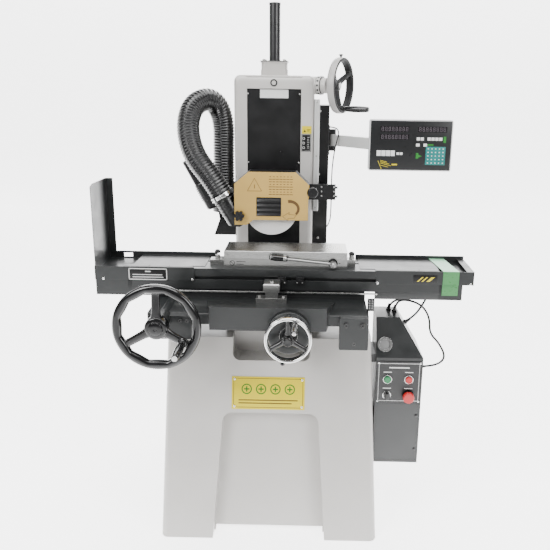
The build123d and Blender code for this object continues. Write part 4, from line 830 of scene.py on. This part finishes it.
def make_column_details():
    base = "machine_base"
    bm = bmesh.new()
    for x, z in ((-121, 1551), (83, 1551), (-121, 1282), (83, 1282)):
        pan_head(bm, on_front(x, COLUMN_FRONT, z), 3.4, 2.0)
    for x, z in ((154, 1520), (154, 1100), (154, 1310)):
        pan_head(bm, on_front(x - 1, 204, z), 3.6, 2.0)
    for z in (1485, 1230, 960):
        pan_head(bm, on_front(166, 262, z), 5, 3)
    finish_piece("column_screws", bm, base, "machined_steel")
    bm = bmesh.new()
    washer(bm, on_front(-19, COLUMN_FRONT, 1593), 14, 8.5, 3, 0.8, index=0)
    lathe(bm, on_front(-19, COLUMN_FRONT, 1593), ((0, 0), (8.6, 0), (8.6, 1.6), (0, 1.6)), 40, 1)
    finish_piece("lifting_plug", bm, base, "iron_dark", "enamel_grey")
    bm = bmesh.new()
    plate = on_front(113, COLUMN_FRONT, 1413)
    slab(bm, plate, (38, 30, 0.8), 0.3)
    prism(bm, plate @ shift(-8, -4, 0.8), ((-5, -4), (5, -4), (0, 5)), 0.2, 1)
    lines(bm, plate @ shift(8, 1, 0.8), 14, 2, 5, 2, 0.2, (1, 0.7), 1)
    finish_piece("caution_plate", bm, base, "label_yellow", "label_black", slot="plastic_black")
    bm = bmesh.new()
    plate = on_front(111.5, COLUMN_FRONT, 1362)
    slab(bm, plate, (39, 69, 0.8), 0.3)
    frame_lines(bm, plate @ shift(0, 0, 0.8), 35, 65, 0.7, 0.15, 1)
    lines(bm, plate @ shift(8, 22, 0.8), 9, 7, 7, 1.0, 0.15, (1, 0.8, 0.9), 1)
    for z in (17, -1, -19):
        washer(bm, plate @ shift(-10, z, 0.8), 5, 3.6, 0.15, 0.05, 24, 1)
    finish_piece("lubrication_plate", bm, base, "label_black", "label_white", slot="plastic_black")
    bm = bmesh.new()
    centre = HORN_BASE + HORN * 205 * MM
    collar = facing(centre, HORN)
    for step in range(12):
        turn = 2 * math.pi * step / 12
        out = collar.to_3x3() @ Vector((math.cos(turn), math.sin(turn), 0))
        place = centre + out * 34.2 * MM
        screw_head(bm, facing(place, out, HORN), 4.2, 2.2)
    finish_piece("horn_screws", bm, base, "iron_dark")
    bm = bmesh.new()
    washer(bm, facing(HORN_BASE + HORN * 196 * MM, HORN), 35.6, 34.6, 1.2, 0.3, 72)
    washer(bm, facing(HORN_BASE + HORN * 213 * MM, HORN), 35.6, 29.5, 1.6, 0.4, 72)
    finish_piece("horn_seams", bm, base, "enamel_black")
    bm = bmesh.new()
    washer(bm, facing(spot(SCREW_X, SCREW_Y, 1890), UP, FRONT), 23.4, 22.0, 9, 0.6, 64)
    washer(bm, facing(spot(SCREW_X, SCREW_Y, 1675), UP, FRONT), 30, 22.1, 5, 1, 64)
    for side in (-1, 1):
        slab(bm, facing(spot(SCREW_X, SCREW_Y + 39 * side, 1675), UP, BACK), (112, 30, 2.4), 0.5)
        slab(bm, facing(spot(SCREW_X + 40 * side, SCREW_Y, 1675), UP, BACK), (32, 48, 2.4), 0.5)
    for x in (SCREW_X - 40, SCREW_X + 40):
        for y in (SCREW_Y - 36, SCREW_Y + 36):
            screw_head(bm, facing(spot(x, y, 1677.4), UP, FRONT), 5.4, 7)
    finish_piece("tube_collars", bm, base, "tube_grey")


def make_way_cover_details():
    """A blank data card on the sliding cover's top."""
    bm = bmesh.new()
    card = on_front(-18, 206.4, 1551)
    slab(bm, card, (112, 33, 0.6), 0.2)
    finish_piece("blank_card", bm, "head", "label_white", slot="plastic_black")
    bm = bmesh.new()
    washer(bm, on_front(-18, 206.4, 1125), 104, 101, 0.8, 0.2, 96)
    finish_piece("cover_seam", bm, "head", "enamel_black")


def make_guard_details():
    bm = bmesh.new()
    # A black sheet at the back of the louvre's opening: painted shade in the gaps between the slats.
    slab(bm, on_front(-26, -3, 1137), (100, 78, 1.0))
    finish_piece("louvre_painted_shade", bm, "head", "label_black", slot="enamel_black")
    bm = bmesh.new()
    for row in range(4):
        z = 1164 - 18 * row
        slat = shift(-26, -5.4, z) @ Matrix.Rotation(math.radians(90 - 32), 4, "X")
        slab(bm, slat, (92, 17, 1.4), 0.5)
    for x in (-72, 20):
        slab(bm, on_front(x, -4, 1137), (2, 72, 5))
    finish_piece("louvre_slats", bm, "head", "enamel_black")
    bm = bmesh.new()
    sides = ((-27, -18), (27, -18), (0, 30))
    mark = on_front(-80, GUARD_FRONT, 1215)
    for (x0, z0), (x1, z1) in zip(sides, sides[1:] + sides[:1]):
        turn = math.atan2(z1 - z0, x1 - x0)
        bar = mark @ shift((x0 + x1) / 2, (z0 + z1) / 2, 0) @ Matrix.Rotation(turn, 4, "Z")
        slab(bm, bar, (math.hypot(x1 - x0, z1 - z0), 1.6, 0.2))
    slab(bm, mark @ shift(0, -1, 0), (2.4, 15, 0.2))
    for row in range(8):
        for word in range(7):
            width = 6 + 4 * ((3 * word + 5 * row) % 3)
            place = on_front(-20 + 13.2 * word, GUARD_FRONT, 1252 - 9.6 * row)
            slab(bm, place, (min(width, 11.6), 2.6, 0.2))
    finish_piece("guard_print", bm, "head", "print_brown", slot="enamel_tan")
    bm = bmesh.new()
    arrow = on_front(49, GUARD_FRONT, 1131)
    arc = []
    for step in range(13):
        arc.append((math.radians(100 - 146 * step / 12), step / 12))
    outer = [(4 + 39 * math.cos(a), 34 * math.sin(a)) for a, t in arc]
    inner = [(4 + (27 + 3 * t) * math.cos(a), (22 + 3 * t) * math.sin(a)) for a, t in reversed(arc)]
    prism(bm, arrow, outer + inner, 0.2)
    tip = ((-22, -30), (4, -14), (1, -22), (30, -24), (22, -36), (-2, -38), (-4, -46))
    for (x0, z0), (x1, z1) in zip(tip, tip[1:] + tip[:1]):
        turn = math.atan2(z1 - z0, x1 - x0)
        place = arrow @ shift((x0 + x1) / 2, (z0 + z1) / 2, 0) @ Matrix.Rotation(turn, 4, "Z")
        slab(bm, place, (math.hypot(x1 - x0, z1 - z0), 1.5, 0.2))
    finish_piece("rotation_arrow", bm, "head", "print_brown", "enamel_tan", slot="enamel_tan")
    bm = bmesh.new()
    for z in (1158, 1176, 1194):
        for x in (176, 226):
            pan_head(bm, on_front(x, 140, z), 3.6, 2.2)
    finish_piece("bracket_screws", bm, "head", "machined_steel")


def make_clamp_details():
    """The worm housing, slots and tail of the hose clamp, and the spigot's raised rings."""
    axis = SPIGOT_AXIS
    across = SPIGOT_ACROSS
    centre = (SPIGOT + 135 * axis) * MM
    bm = bmesh.new()
    for step in range(46):
        turn = 2 * math.pi * step / 46
        out = across * math.cos(turn) + BACK * math.sin(turn)
        slab(bm, facing(centre + out * 46.8 * MM, out, axis), (1.6, 8, 0.8))
    finish_piece("clamp_slots", bm, "head", "iron_dark", slot="chrome")
    bm = bmesh.new()
    out = (across * 0.25 - BACK).normalized()
    along = axis.cross(out)
    slab(bm, facing(centre + out * 46.5 * MM, out, axis), (22, 15, 9), 2.4)
    lathe(bm, facing(centre + out * 51 * MM - along * 17 * MM, along, axis), (
        (0, 0), (5.5, 0), (6.2, 1), (6.2, 6), (4.4, 7), (4.4, 28),
        (3.4, 30), (0, 30)), 24)
    finish_piece("clamp_worm", bm, "head", "chrome")
    bm = bmesh.new()
    for reach in (62, 76, 90, 104):
        washer(bm, facing((SPIGOT + reach * axis) * MM, axis, across), 40.4, 37.8, 4, 1.2, 64)
    finish_piece("spigot_rings", bm, "head", "enamel_black")


def make_table_details():
    body = "table"
    bm = bmesh.new()
    for x, z in ((-617, 897), (-292, 897), (380, 897), (716, 897)):
        pan_head(bm, on_front(x, TRAY_FRONT, z), 5, 2.6)
    finish_piece("tray_screws", bm, body, "chrome", slot="machined_steel")
    bm = bmesh.new()
    plate = on_front(-454, TRAY_FRONT, 916)
    slab(bm, plate, (140, 43, 0.8), 0.3)
    front = plate @ shift(0, 0, 0.8)
    frame_lines(bm, front, 140, 43, 3, 0.25, 1)
    lines(bm, front @ shift(0, 10, 0), 20, 1, 1, 4, 0.15, (1,), 1)
    lines(bm, front @ shift(0, -2, 0), 112, 2, 9, 2.6, 0.15, (0.97, 1), 1)
    finish_piece("left_tray_plate", bm, body, "label_black", "label_white", slot="plastic_black")
    bm = bmesh.new()
    plate = on_front(552, TRAY_FRONT, 914)
    slab(bm, plate, (86, 32, 0.6), 0.2)
    front = plate @ shift(0, 0, 0.6)
    shapes = (
        ((-30, -9), (-12, 8), (-6, 8), (-24, -9)),
        ((-14, -9), (4, 8), (10, 8), (-8, -9)),
        ((4, -9), (22, 8), (34, 8), (16, -9)),
    )
    for outline in shapes:
        prism(bm, front, outline, 0.15, 1)
    finish_piece("right_tray_mark", bm, body, "label_black", "label_yellow", slot="plastic_black")
    bm = bmesh.new()
    slab(bm, on_front(10, -186, 853.5), (742, 6, 4), 0.8)
    finish_piece("table_lip_strip", bm, body, "ground_steel", slot="machined_steel")
    bm = bmesh.new()
    for start, end in ((-545, -452), (-450, -380), (-378, -292), (372, 452), (454, 530), (532, 600)):
        place = facing(spot((start + end) / 2, -176, 941.5), UP, BACK)
        slab(bm, place, (end - start, 24, 2), 0.4)
    finish_piece("guide_strips", bm, body, "ledge_grey", slot="machined_steel")
    bm = bmesh.new()
    for start, end in ((-531, -361), (372, 621)):
        slab(bm, on_front((start + end) / 2, -184, 863.5), (end - start, 59, 2), 0.4)
    finish_piece("tray_skirts", bm, body, "table_charcoal")
    bm = bmesh.new()
    ground = shift(0, 0, 943.3)
    corners = ((616, -192.3), (674, -192.3), (652, -4), (594, -4))
    # The tape's top piece: its green lightened as painted light.
    prism(bm, ground, corners, 0.3)
    # The tape's two front pieces: the same green darkened as painted shade.
    slab(bm, on_front(645, -192.1, 918.2), (58, 50.6, 0.3), index=1)
    slab(bm, on_front(645, -186.1, 872), (58, 42, 0.3), index=1)
    finish_piece("transit_tape", bm, body, "tape_painted_lit", "tape_painted_shade", slot="plastic_green")
    bm = bmesh.new()
    for x in (34, 98):
        for side in (-9, 9):
            screw_head(bm, on_front(x + side, -204, 896), 2.6, 1.6)
    finish_piece("dog_screws", bm, body, "machined_steel")


def make_chuck_details():
    body = "table"
    bm = bmesh.new()
    for step in range(58):
        x = -165 + 7.3 * step
        slab(bm, facing(spot(x, -86, 1000), UP, BACK), (1.1, 122, 0.06))
    finish_piece("pole_lines", bm, body, "brass_line", slot="ground_steel")
    bm = bmesh.new()
    for x in (-165, -90, -15, 60, 135, 200, 255):
        screw_head(bm, on_front(x, CHUCK_FRONT, 986), 3.4, 1.2)
    lathe(bm, on_front(LEVER_X, -191, LEVER_Z), ((0, 0), (8.5, 0), (8.5, 4), (6, 6), (0, 6)), 6)
    finish_piece("chuck_screws", bm, body, "machined_steel")
    bm = bmesh.new()
    washer(bm, on_front(LEVER_X, -165, LEVER_Z), 17, 8, 1.0, 0.3, 56)
    for turn in (180, 0):
        a = math.radians(turn)
        mark = on_front(LEVER_X + 24 * math.cos(a), CHUCK_FRONT, LEVER_Z + 24 * math.sin(a))
        slab(bm, mark, (7, 2.5, 0.3))
    finish_piece("lever_dial", bm, body, "label_black", slot="plastic_black")
    bm = bmesh.new()
    tilt = math.radians(5.5)
    along = Vector((-math.cos(tilt), 0, math.sin(tilt)))
    foot = spot(LEVER_X, -177, LEVER_Z) + along * 166 * MM
    lathe(bm, facing(foot, along, FRONT), (
        (0, 0), (7, 0), (8, 4), (10.3, 22), (10.6, 44), (9.4, 62),
        (6, 67), (0, 68)), 36)
    finish_piece("lever_grip", bm, "chuck_lever", "plastic_black")
    bm = bmesh.new()
    emblem = on_front(-150, CHUCK_FRONT, 955)
    washer(bm, emblem, 9.5, 7.6, 0.2, 0.05, 48)
    slab(bm, emblem @ Matrix.Rotation(math.radians(45), 4, "Z"), (2, 16, 0.2))
    lines(bm, on_front(-118, CHUCK_FRONT, 960), 34, 2, 9, 2.2, 0.2, (1, 0.8))
    finish_piece("chuck_emblem", bm, body, "label_black", slot="plastic_black")
    bm = bmesh.new()
    for x, y in ((288, -113), (-210, -109)):
        place = facing(spot(x, y, 980), UP, FRONT)
        lathe(bm, place, ((0, 0), (10, 0), (11, 3), (10, 9), (6, 12), (0, 12.5)), 6)
    finish_piece("clamp_nuts", bm, body, "iron_dark")


def make_saddle_details():
    body = "saddle"
    bm = bmesh.new()
    for turn in (50, 90, 130):
        a = math.radians(turn)
        place = on_front(CROSS_SHAFT_X + 63 * math.cos(a), -420, CROSS_SHAFT_Z + 63 * math.sin(a))
        screw_head(bm, place, 4.6, 2.5)
    for x, z in ((-302, 812), (-279, 812)):
        screw_head(bm, on_front(x, BLOCK_FRONT, z), 6.6, 3)
    for x in (259, 315):
        screw_head(bm, on_front(x, BLOCK_FRONT, 805), 7.6, 3.5)
    washer(bm, on_front(288, -392, 737), 6.5, 4, 1.2, 0.3, 32)
    finish_piece("saddle_screws", bm, body, "iron_dark")
    bm = bmesh.new()
    dial = on_front(CROSS_SHAFT_X, -432, CROSS_SHAFT_Z)
    washer(bm, dial, 30.6, 29.6, 8, 0.3, 72)
    for step in range(50):
        turn = 2 * math.pi * step / 50
        out = Vector((math.cos(turn), 0, math.sin(turn)))
        length = 6 if step % 5 == 0 else 3.5
        place = spot(CROSS_SHAFT_X, -436, CROSS_SHAFT_Z) + out * 30.7 * MM
        slab(bm, facing(place, out, FRONT), (0.7, length, 0.15), index=1)
    finish_piece("feed_dial", bm, body, "ground_steel", "label_black", slot="machined_steel")
    bm = bmesh.new()
    slab(bm, on_front(349, -300, 849), (24, 46, 2), 0.4)
    slab(bm, facing(spot(338, -306, 828), RIGHT), (16, 20, 3), 0.4)
    for row in range(4):
        for col in range(2):
            at = on_front(344 + 10 * col, -302, 837 + 9 * row)
            lathe(bm, at, ((0, 0), (3, 0), (3, 0.3), (0, 0.3)), 24, 1)
    finish_piece("perforated_bracket", bm, body, "enamel_charcoal", "socket_grey")


def make_base_details():
    """The name plate on the leaning face, blank but for a plain border and three discs."""
    base = "machine_base"
    lean = Vector((0, -702, 195)).normalized()
    up = Vector((0, 195, 702)).normalized()
    centre = spot(-9, -450 + 0.27778 * 509, 509)
    plate = facing(centre, lean, up)
    bm = bmesh.new()
    slab(bm, plate, (264, 118, 1.4), 0.5)
    face = plate @ shift(0, 0, 1.4)
    frame_lines(bm, face, 252, 106, 1.8, 0.25, 1)
    for step in range(4):
        place = face @ shift(-78 + 52 * step, 14, 0)
        washer(bm, place, 19, 14.5, 0.3, 0.1, 40, 2)
        slab(bm, place, (5, 20, 0.3), index=2)
        slab(bm, place, (20, 5, 0.3), index=2)
    lines(bm, face @ shift(0, -26, 0), 214, 2, 11, 4, 0.25, (1, 0.9), 1)
    finish_piece("name_plate", bm, base, "label_yellow", "print_brown", "print_green", slot="enamel_tan")
    bm = bmesh.new()
    for x in (-122, 122):
        for z in (-49, 49):
            pan_head(bm, face @ shift(x, z, 0), 4.2, 2.4)
    finish_piece("plate_screws", bm, base, "chrome", slot="machined_steel")
    bm = bmesh.new()
    for x in (-330, 330):
        for y in (-390, 390):
            washer(bm, facing(spot(x, y, 24), UP, FRONT), 17, 9, 4, 0.6, 40)
    finish_piece("foot_washers", bm, base, "iron_dark")


def make_control_details():
    base = "machine_base"
    bm = bmesh.new()
    panel = on_front(468, PANEL_FRONT, 535)
    frame_lines(bm, panel, 150, 150, 1.6, 0.3)
    lines(bm, panel @ shift(0, 58, 0), 74, 1, 1, 4.5, 0.3)
    for x in BUTTON_COLUMNS:
        for z in (575, 511):
            lines(bm, on_front(x, PANEL_FRONT, z), 30, 1, 1, 3, 0.3)
    finish_piece("panel_print", bm, base, "label_white", slot="panel_charcoal")
    bm = bmesh.new()
    for x in BUTTON_COLUMNS:
        washer(bm, on_front(x, PANEL_FRONT, 547), 17, 13.4, 4, 1.0, 56)
    washer(bm, on_front(426, PANEL_FRONT, 483), 16, 7.6, 0.9, 0.3, 56)
    for x in (392, 544):
        for z in (459, 611):
            pan_head(bm, on_front(x, PANEL_FRONT, z), 3.6, 2.2)
    finish_piece("panel_bezels", bm, base, "chrome")
    bm = bmesh.new()
    washer(bm, on_front(504.5, PANEL_FRONT, 483), 24, 7.6, 1.2, 0.3, 56)
    finish_piece("stop_backplate", bm, base, "label_black", slot="plastic_black")
    bm = bmesh.new()
    slab(bm, on_front(426, -271.5, 483 + 7), (2, 9, 0.4))
    finish_piece("selector_mark", bm, "mode_selector", "label_white", slot="plastic_black")
    slope = Vector((0, -134, 68)).normalized()
    socket = facing(spot(413, -228.24, 672.88) + slope * 4 * MM, slope)
    bm = bmesh.new()
    lathe(bm, socket, ((0, 0), (18.6, 0), (18.6, 0.8), (15, 1.4), (0, 1.4)), 48)
    finish_piece("conduit_socket", bm, base, "socket_grey", slot="console_grey")
    bm = bmesh.new()
    for z in (214, 448):
        slab(bm, on_front(468.5, BOX_FRONT, z), (158, 1.6, 0.5))
    for x in (391, 546):
        slab(bm, on_front(x, BOX_FRONT, 331), (1.6, 234, 0.5))
    for z in (260, 400):
        lathe(bm, on_front(540, BOX_FRONT, z), ((0, 0), (6, 0), (6, 2), (4, 3), (0, 3)), 24)
    finish_piece("door_edges", bm, base, "enamel_black")


def make_readout_details():
    """The readout's face: dark membrane, digit windows, keys and a tilted marking."""
    body = "readout_console"
    bm = bmesh.new()
    slab(bm, on_front(494, READOUT_FRONT, 1377), (294, 176, 1.6), 0.7)
    finish_piece("readout_membrane", bm, body, "membrane", slot="plastic_black")
    front = READOUT_FRONT - 1.6  # the membrane's own face
    bm = bmesh.new()
    windows = ((434, 1436, 106), (570, 1436, 106), (434, 1408, 106))
    for x, z, width in windows:
        slab(bm, on_front(x, front, z), (width, 20, 0.3))
    finish_piece("readout_windows", bm, body, "window_glass", slot="plastic_black")
    bm = bmesh.new()
    for x, z, width in windows:
        for digit in range(8):
            make_digit(bm, on_front(x - 44 + 12.6 * digit, front - 0.3, z))
    finish_piece("readout_digits", bm, body, "segment_grey", slot="plastic_black")
    bm = bmesh.new()
    for col in range(4):
        slab(bm, on_front(379 + 17 * col, front, 1349), (15, 20, 1.2), 0.5)
    for col in range(2):
        slab(bm, on_front(449 + 12 * col, front, 1348), (10, 9, 1.0), 0.4)
    for col in range(2):
        slab(bm, on_front(521 + 14 * col, front, 1402), (11.5, 11, 1.0), 0.4)
    for col in range(4):
        slab(bm, on_front(560 + 14 * col, front, 1402), (11.5, 11, 1.0), 0.4)
    for x in (520, 547):
        slab(bm, on_front(x, front, 1380), (13, 10, 1.0), 0.4)
    finish_piece("readout_white_keys", bm, body, "label_white", slot="plastic_black")
    bm = bmesh.new()
    slab(bm, on_front(586, front, 1341.5), (72, 66, 0.4), 0.15)
    for row in range(5):
        for col in range(5):
            at = on_front(559 + 13.6 * col, front - 0.4, 1367 - 12.8 * row)
            slab(bm, at, (11.4, 10.6, 0.9), 0.4)
            slab(bm, at @ shift(0, 0, 0.9), (4, 3.6, 0.1), index=1)
    finish_piece("readout_keypad", bm, body, "key_teal", "label_white", slot="plastic_green")
    bm = bmesh.new()
    arrow = ((-11, -10), (-11, 10), (-2, 10), (-2, 4), (12, -1), (-2, -6), (-2, -10))
    prism(bm, on_front(526, front, 1341), arrow, 0.4)
    slab(bm, on_front(617, front, 1400), (9, 22, 0.4))
    slab(bm, on_front(566, front, 1381), (22, 5, 0.4))
    finish_piece("readout_green_marks", bm, body, "mark_green", slot="plastic_green")
    bm = bmesh.new()
    for step, length in enumerate((24, 34, 40, 30)):
        place = on_front(386 + 0.5 * length, front, 1320 - 6 * step)
        place = place @ Matrix.Rotation(math.radians(-14), 4, "Z")
        slab(bm, place, (length, 1.4, 0.2))
    slab(bm, on_front(384, front, 1306) @ Matrix.Rotation(math.radians(24), 4, "Z"), (1.6, 34, 0.2))
    lines(bm, on_front(438, front, 1308), 20, 1, 1, 5, 0.2)
    finish_piece("readout_diagram", bm, body, "label_yellow", slot="enamel_tan")


def make_digit(bm, matrix):
    """One seven-segment figure, unlit."""
    wide, tall, thick = 6.4, 13, 1.2
    for row in (-1, 0, 1):
        slab(bm, matrix @ shift(0, row * tall / 2, 0), (wide - thick, thick, 0.1))
    for side in (-1, 1):
        for row in (-1, 1):
            place = matrix @ shift(side * wide / 2, row * tall / 4, 0)
            slab(bm, place, (thick, tall / 2 - thick, 0.1))
    slab(bm, matrix @ shift(wide / 2 + 2.2, -tall / 2, 0), (thick, thick, 0.1))


def make_lamp_details():
    """Fins and the lamp's lens ring."""
    body = "lamp_head"
    axis = Vector((-0.47, 0, 0.88)).normalized()
    pivot = spot(-262, 120, 1136)
    out = BACK.cross(axis)
    bm = bmesh.new()
    for step in range(7):
        at = pivot + axis * (18 + 8 * step) * MM
        slab(bm, facing(at - out * 29.4 * MM, -out, axis), (36, 3, 2.2), 0.8)
        slab(bm, facing(at + out * 29.4 * MM, out, axis), (36, 3, 2.2), 0.8)
    finish_piece("lamp_fins", bm, body, "plastic_black")
    bm = bmesh.new()
    washer(bm, facing(pivot - axis * 28 * MM, -axis, FRONT), 20, 15, 2, 0.6, 56)
    lathe(bm, facing(pivot - axis * 27.6 * MM, -axis, FRONT), ((0, 0), (15.2, 0), (14, 1.4), (0, 2)), 48, 1)
    finish_piece("lamp_lens", bm, body, "chrome", "label_white")


# ---- camera, lights and floor --------------------------------------------


def make_camera():
    """The photograph's camera, as it was fitted to the object's edges."""
    pitch = math.radians(15.41)
    yaw = math.radians(0.72)
    roll = math.radians(0.78)
    forward = Vector((-math.sin(yaw) * math.cos(pitch), math.cos(yaw) * math.cos(pitch), -math.sin(pitch)))
    across = forward.cross(UP).normalized()
    above = across.cross(forward)
    turn = Matrix((across, above, -forward)).transposed().to_4x4()
    data = bpy.data.cameras.new("camera")
    data.lens = 43.72
    data.sensor_width = 36.0
    data.shift_x = -0.0456
    data.shift_y = -0.0097
    camera = bpy.data.objects.new("camera", data)
    place = Matrix.Translation((0.128, -2.5189, 1.5836))
    camera.matrix_world = place @ turn @ Matrix.Rotation(roll, 4, "Z")
    bpy.context.scene.collection.objects.link(camera)
    bpy.context.scene.camera = camera


def area_light(name, place, target, size, power, colour=(1, 1, 1)):
    data = bpy.data.lights.new(name, "AREA")
    data.shape = "RECTANGLE"
    data.size, data.size_y = size
    data.energy = power
    data.color = colour
    lamp = bpy.data.objects.new(name, data)
    lamp.location = place
    lamp.rotation_euler = (Vector(target) - Vector(place)).to_track_quat("-Z", "Y").to_euler()
    bpy.context.scene.collection.objects.link(lamp)


def make_world():
    world = bpy.data.worlds.new("studio")
    bpy.context.scene.world = world
    world.use_nodes = True
    background = world.node_tree.nodes["Background"]
    background.inputs["Color"].default_value = (1, 1, 1, 1)
    background.inputs["Strength"].default_value = 0.3


def make_floor():
    """A pale sweep: flat under the machine, curving up far behind it."""
    bm = bmesh.new()
    steps = 16
    rows = [(-8.0, 0.0)]
    for i in range(steps + 1):
        angle = i / steps * math.pi / 2
        rows.append((6.0 + 3.0 * math.sin(angle), 3.0 - 3.0 * math.cos(angle)))
    rows.append((9.0, 12.0))
    verts = [[bm.verts.new((x, y, z)) for x in (-12.0, 12.0)] for y, z in rows]
    for one, two in zip(verts, verts[1:]):
        bm.faces.new((one[0], one[1], two[1], two[0]))
    mesh = bpy.data.meshes.new("floor")
    bm.to_mesh(mesh)
    bm.free()
    mesh.shade_smooth()
    floor = bpy.data.objects.new("floor", mesh)
    bpy.context.scene.collection.objects.link(floor)
    s = Surface("floor_paint", 0.7)
    s.colour(s.mix(s.ramp(s.noise(1.5), 0.3, 0.7), (0.86, 0.86, 0.86, 1), (0.9, 0.9, 0.9, 1)))
    s.set("Emission Color", (1, 1, 1, 1))
    place = s.node("SeparateXYZ")
    s.tree.links.new(s.node("TexCoord").outputs["Object"], place.inputs[0])
    glow = s.node("MapRange", {"interpolation_type": "SMOOTHSTEP"})
    s.tree.links.new(place.outputs["Y"], glow.inputs["Value"])
    glow.inputs["From Min"].default_value = -2.2
    glow.inputs["From Max"].default_value = -0.5
    glow.inputs["To Max"].default_value = 3.4
    s.tree.links.new(glow.outputs["Result"], s.shader.inputs["Emission Strength"])
    mesh.materials.append(s.material)


dress_cad_nodes()
make_hose()
make_cable("cable_loop", CABLE_LOOP, 4 * MM, "control_cables")
make_cable("cable_rear_top", CABLE_REAR_TOP, 4 * MM, "control_cables")
make_cable("cable_rear_side", CABLE_REAR_SIDE, 4 * MM, "control_cables")
make_cable("cable_signal", SIGNAL_ROUTE, 2.5 * MM, "signal_cable")
make_glands()
make_table_wheel()
make_cross_wheel()
make_elevating_wheel()
make_column_details()
make_way_cover_details()
make_guard_details()
make_clamp_details()
make_table_details()
make_chuck_details()
make_saddle_details()
make_base_details()
make_control_details()
make_readout_details()
make_lamp_details()

make_camera()
make_world()
make_floor()
area_light("key_left", (-2.6, -3.0, 3.4), (0, 0, 0.9), (2.2, 2.2), 190)
area_light("key_right", (2.8, -2.6, 2.8), (0, 0, 0.9), (1.6, 2.2), 110)
area_light("top", (0, -0.4, 4.2), (0, 0, 0.8), (3.0, 2.4), 150)
area_light("back", (0.5, 3.2, 3.2), (0, 0, 1.0), (3.0, 1.6), 45)
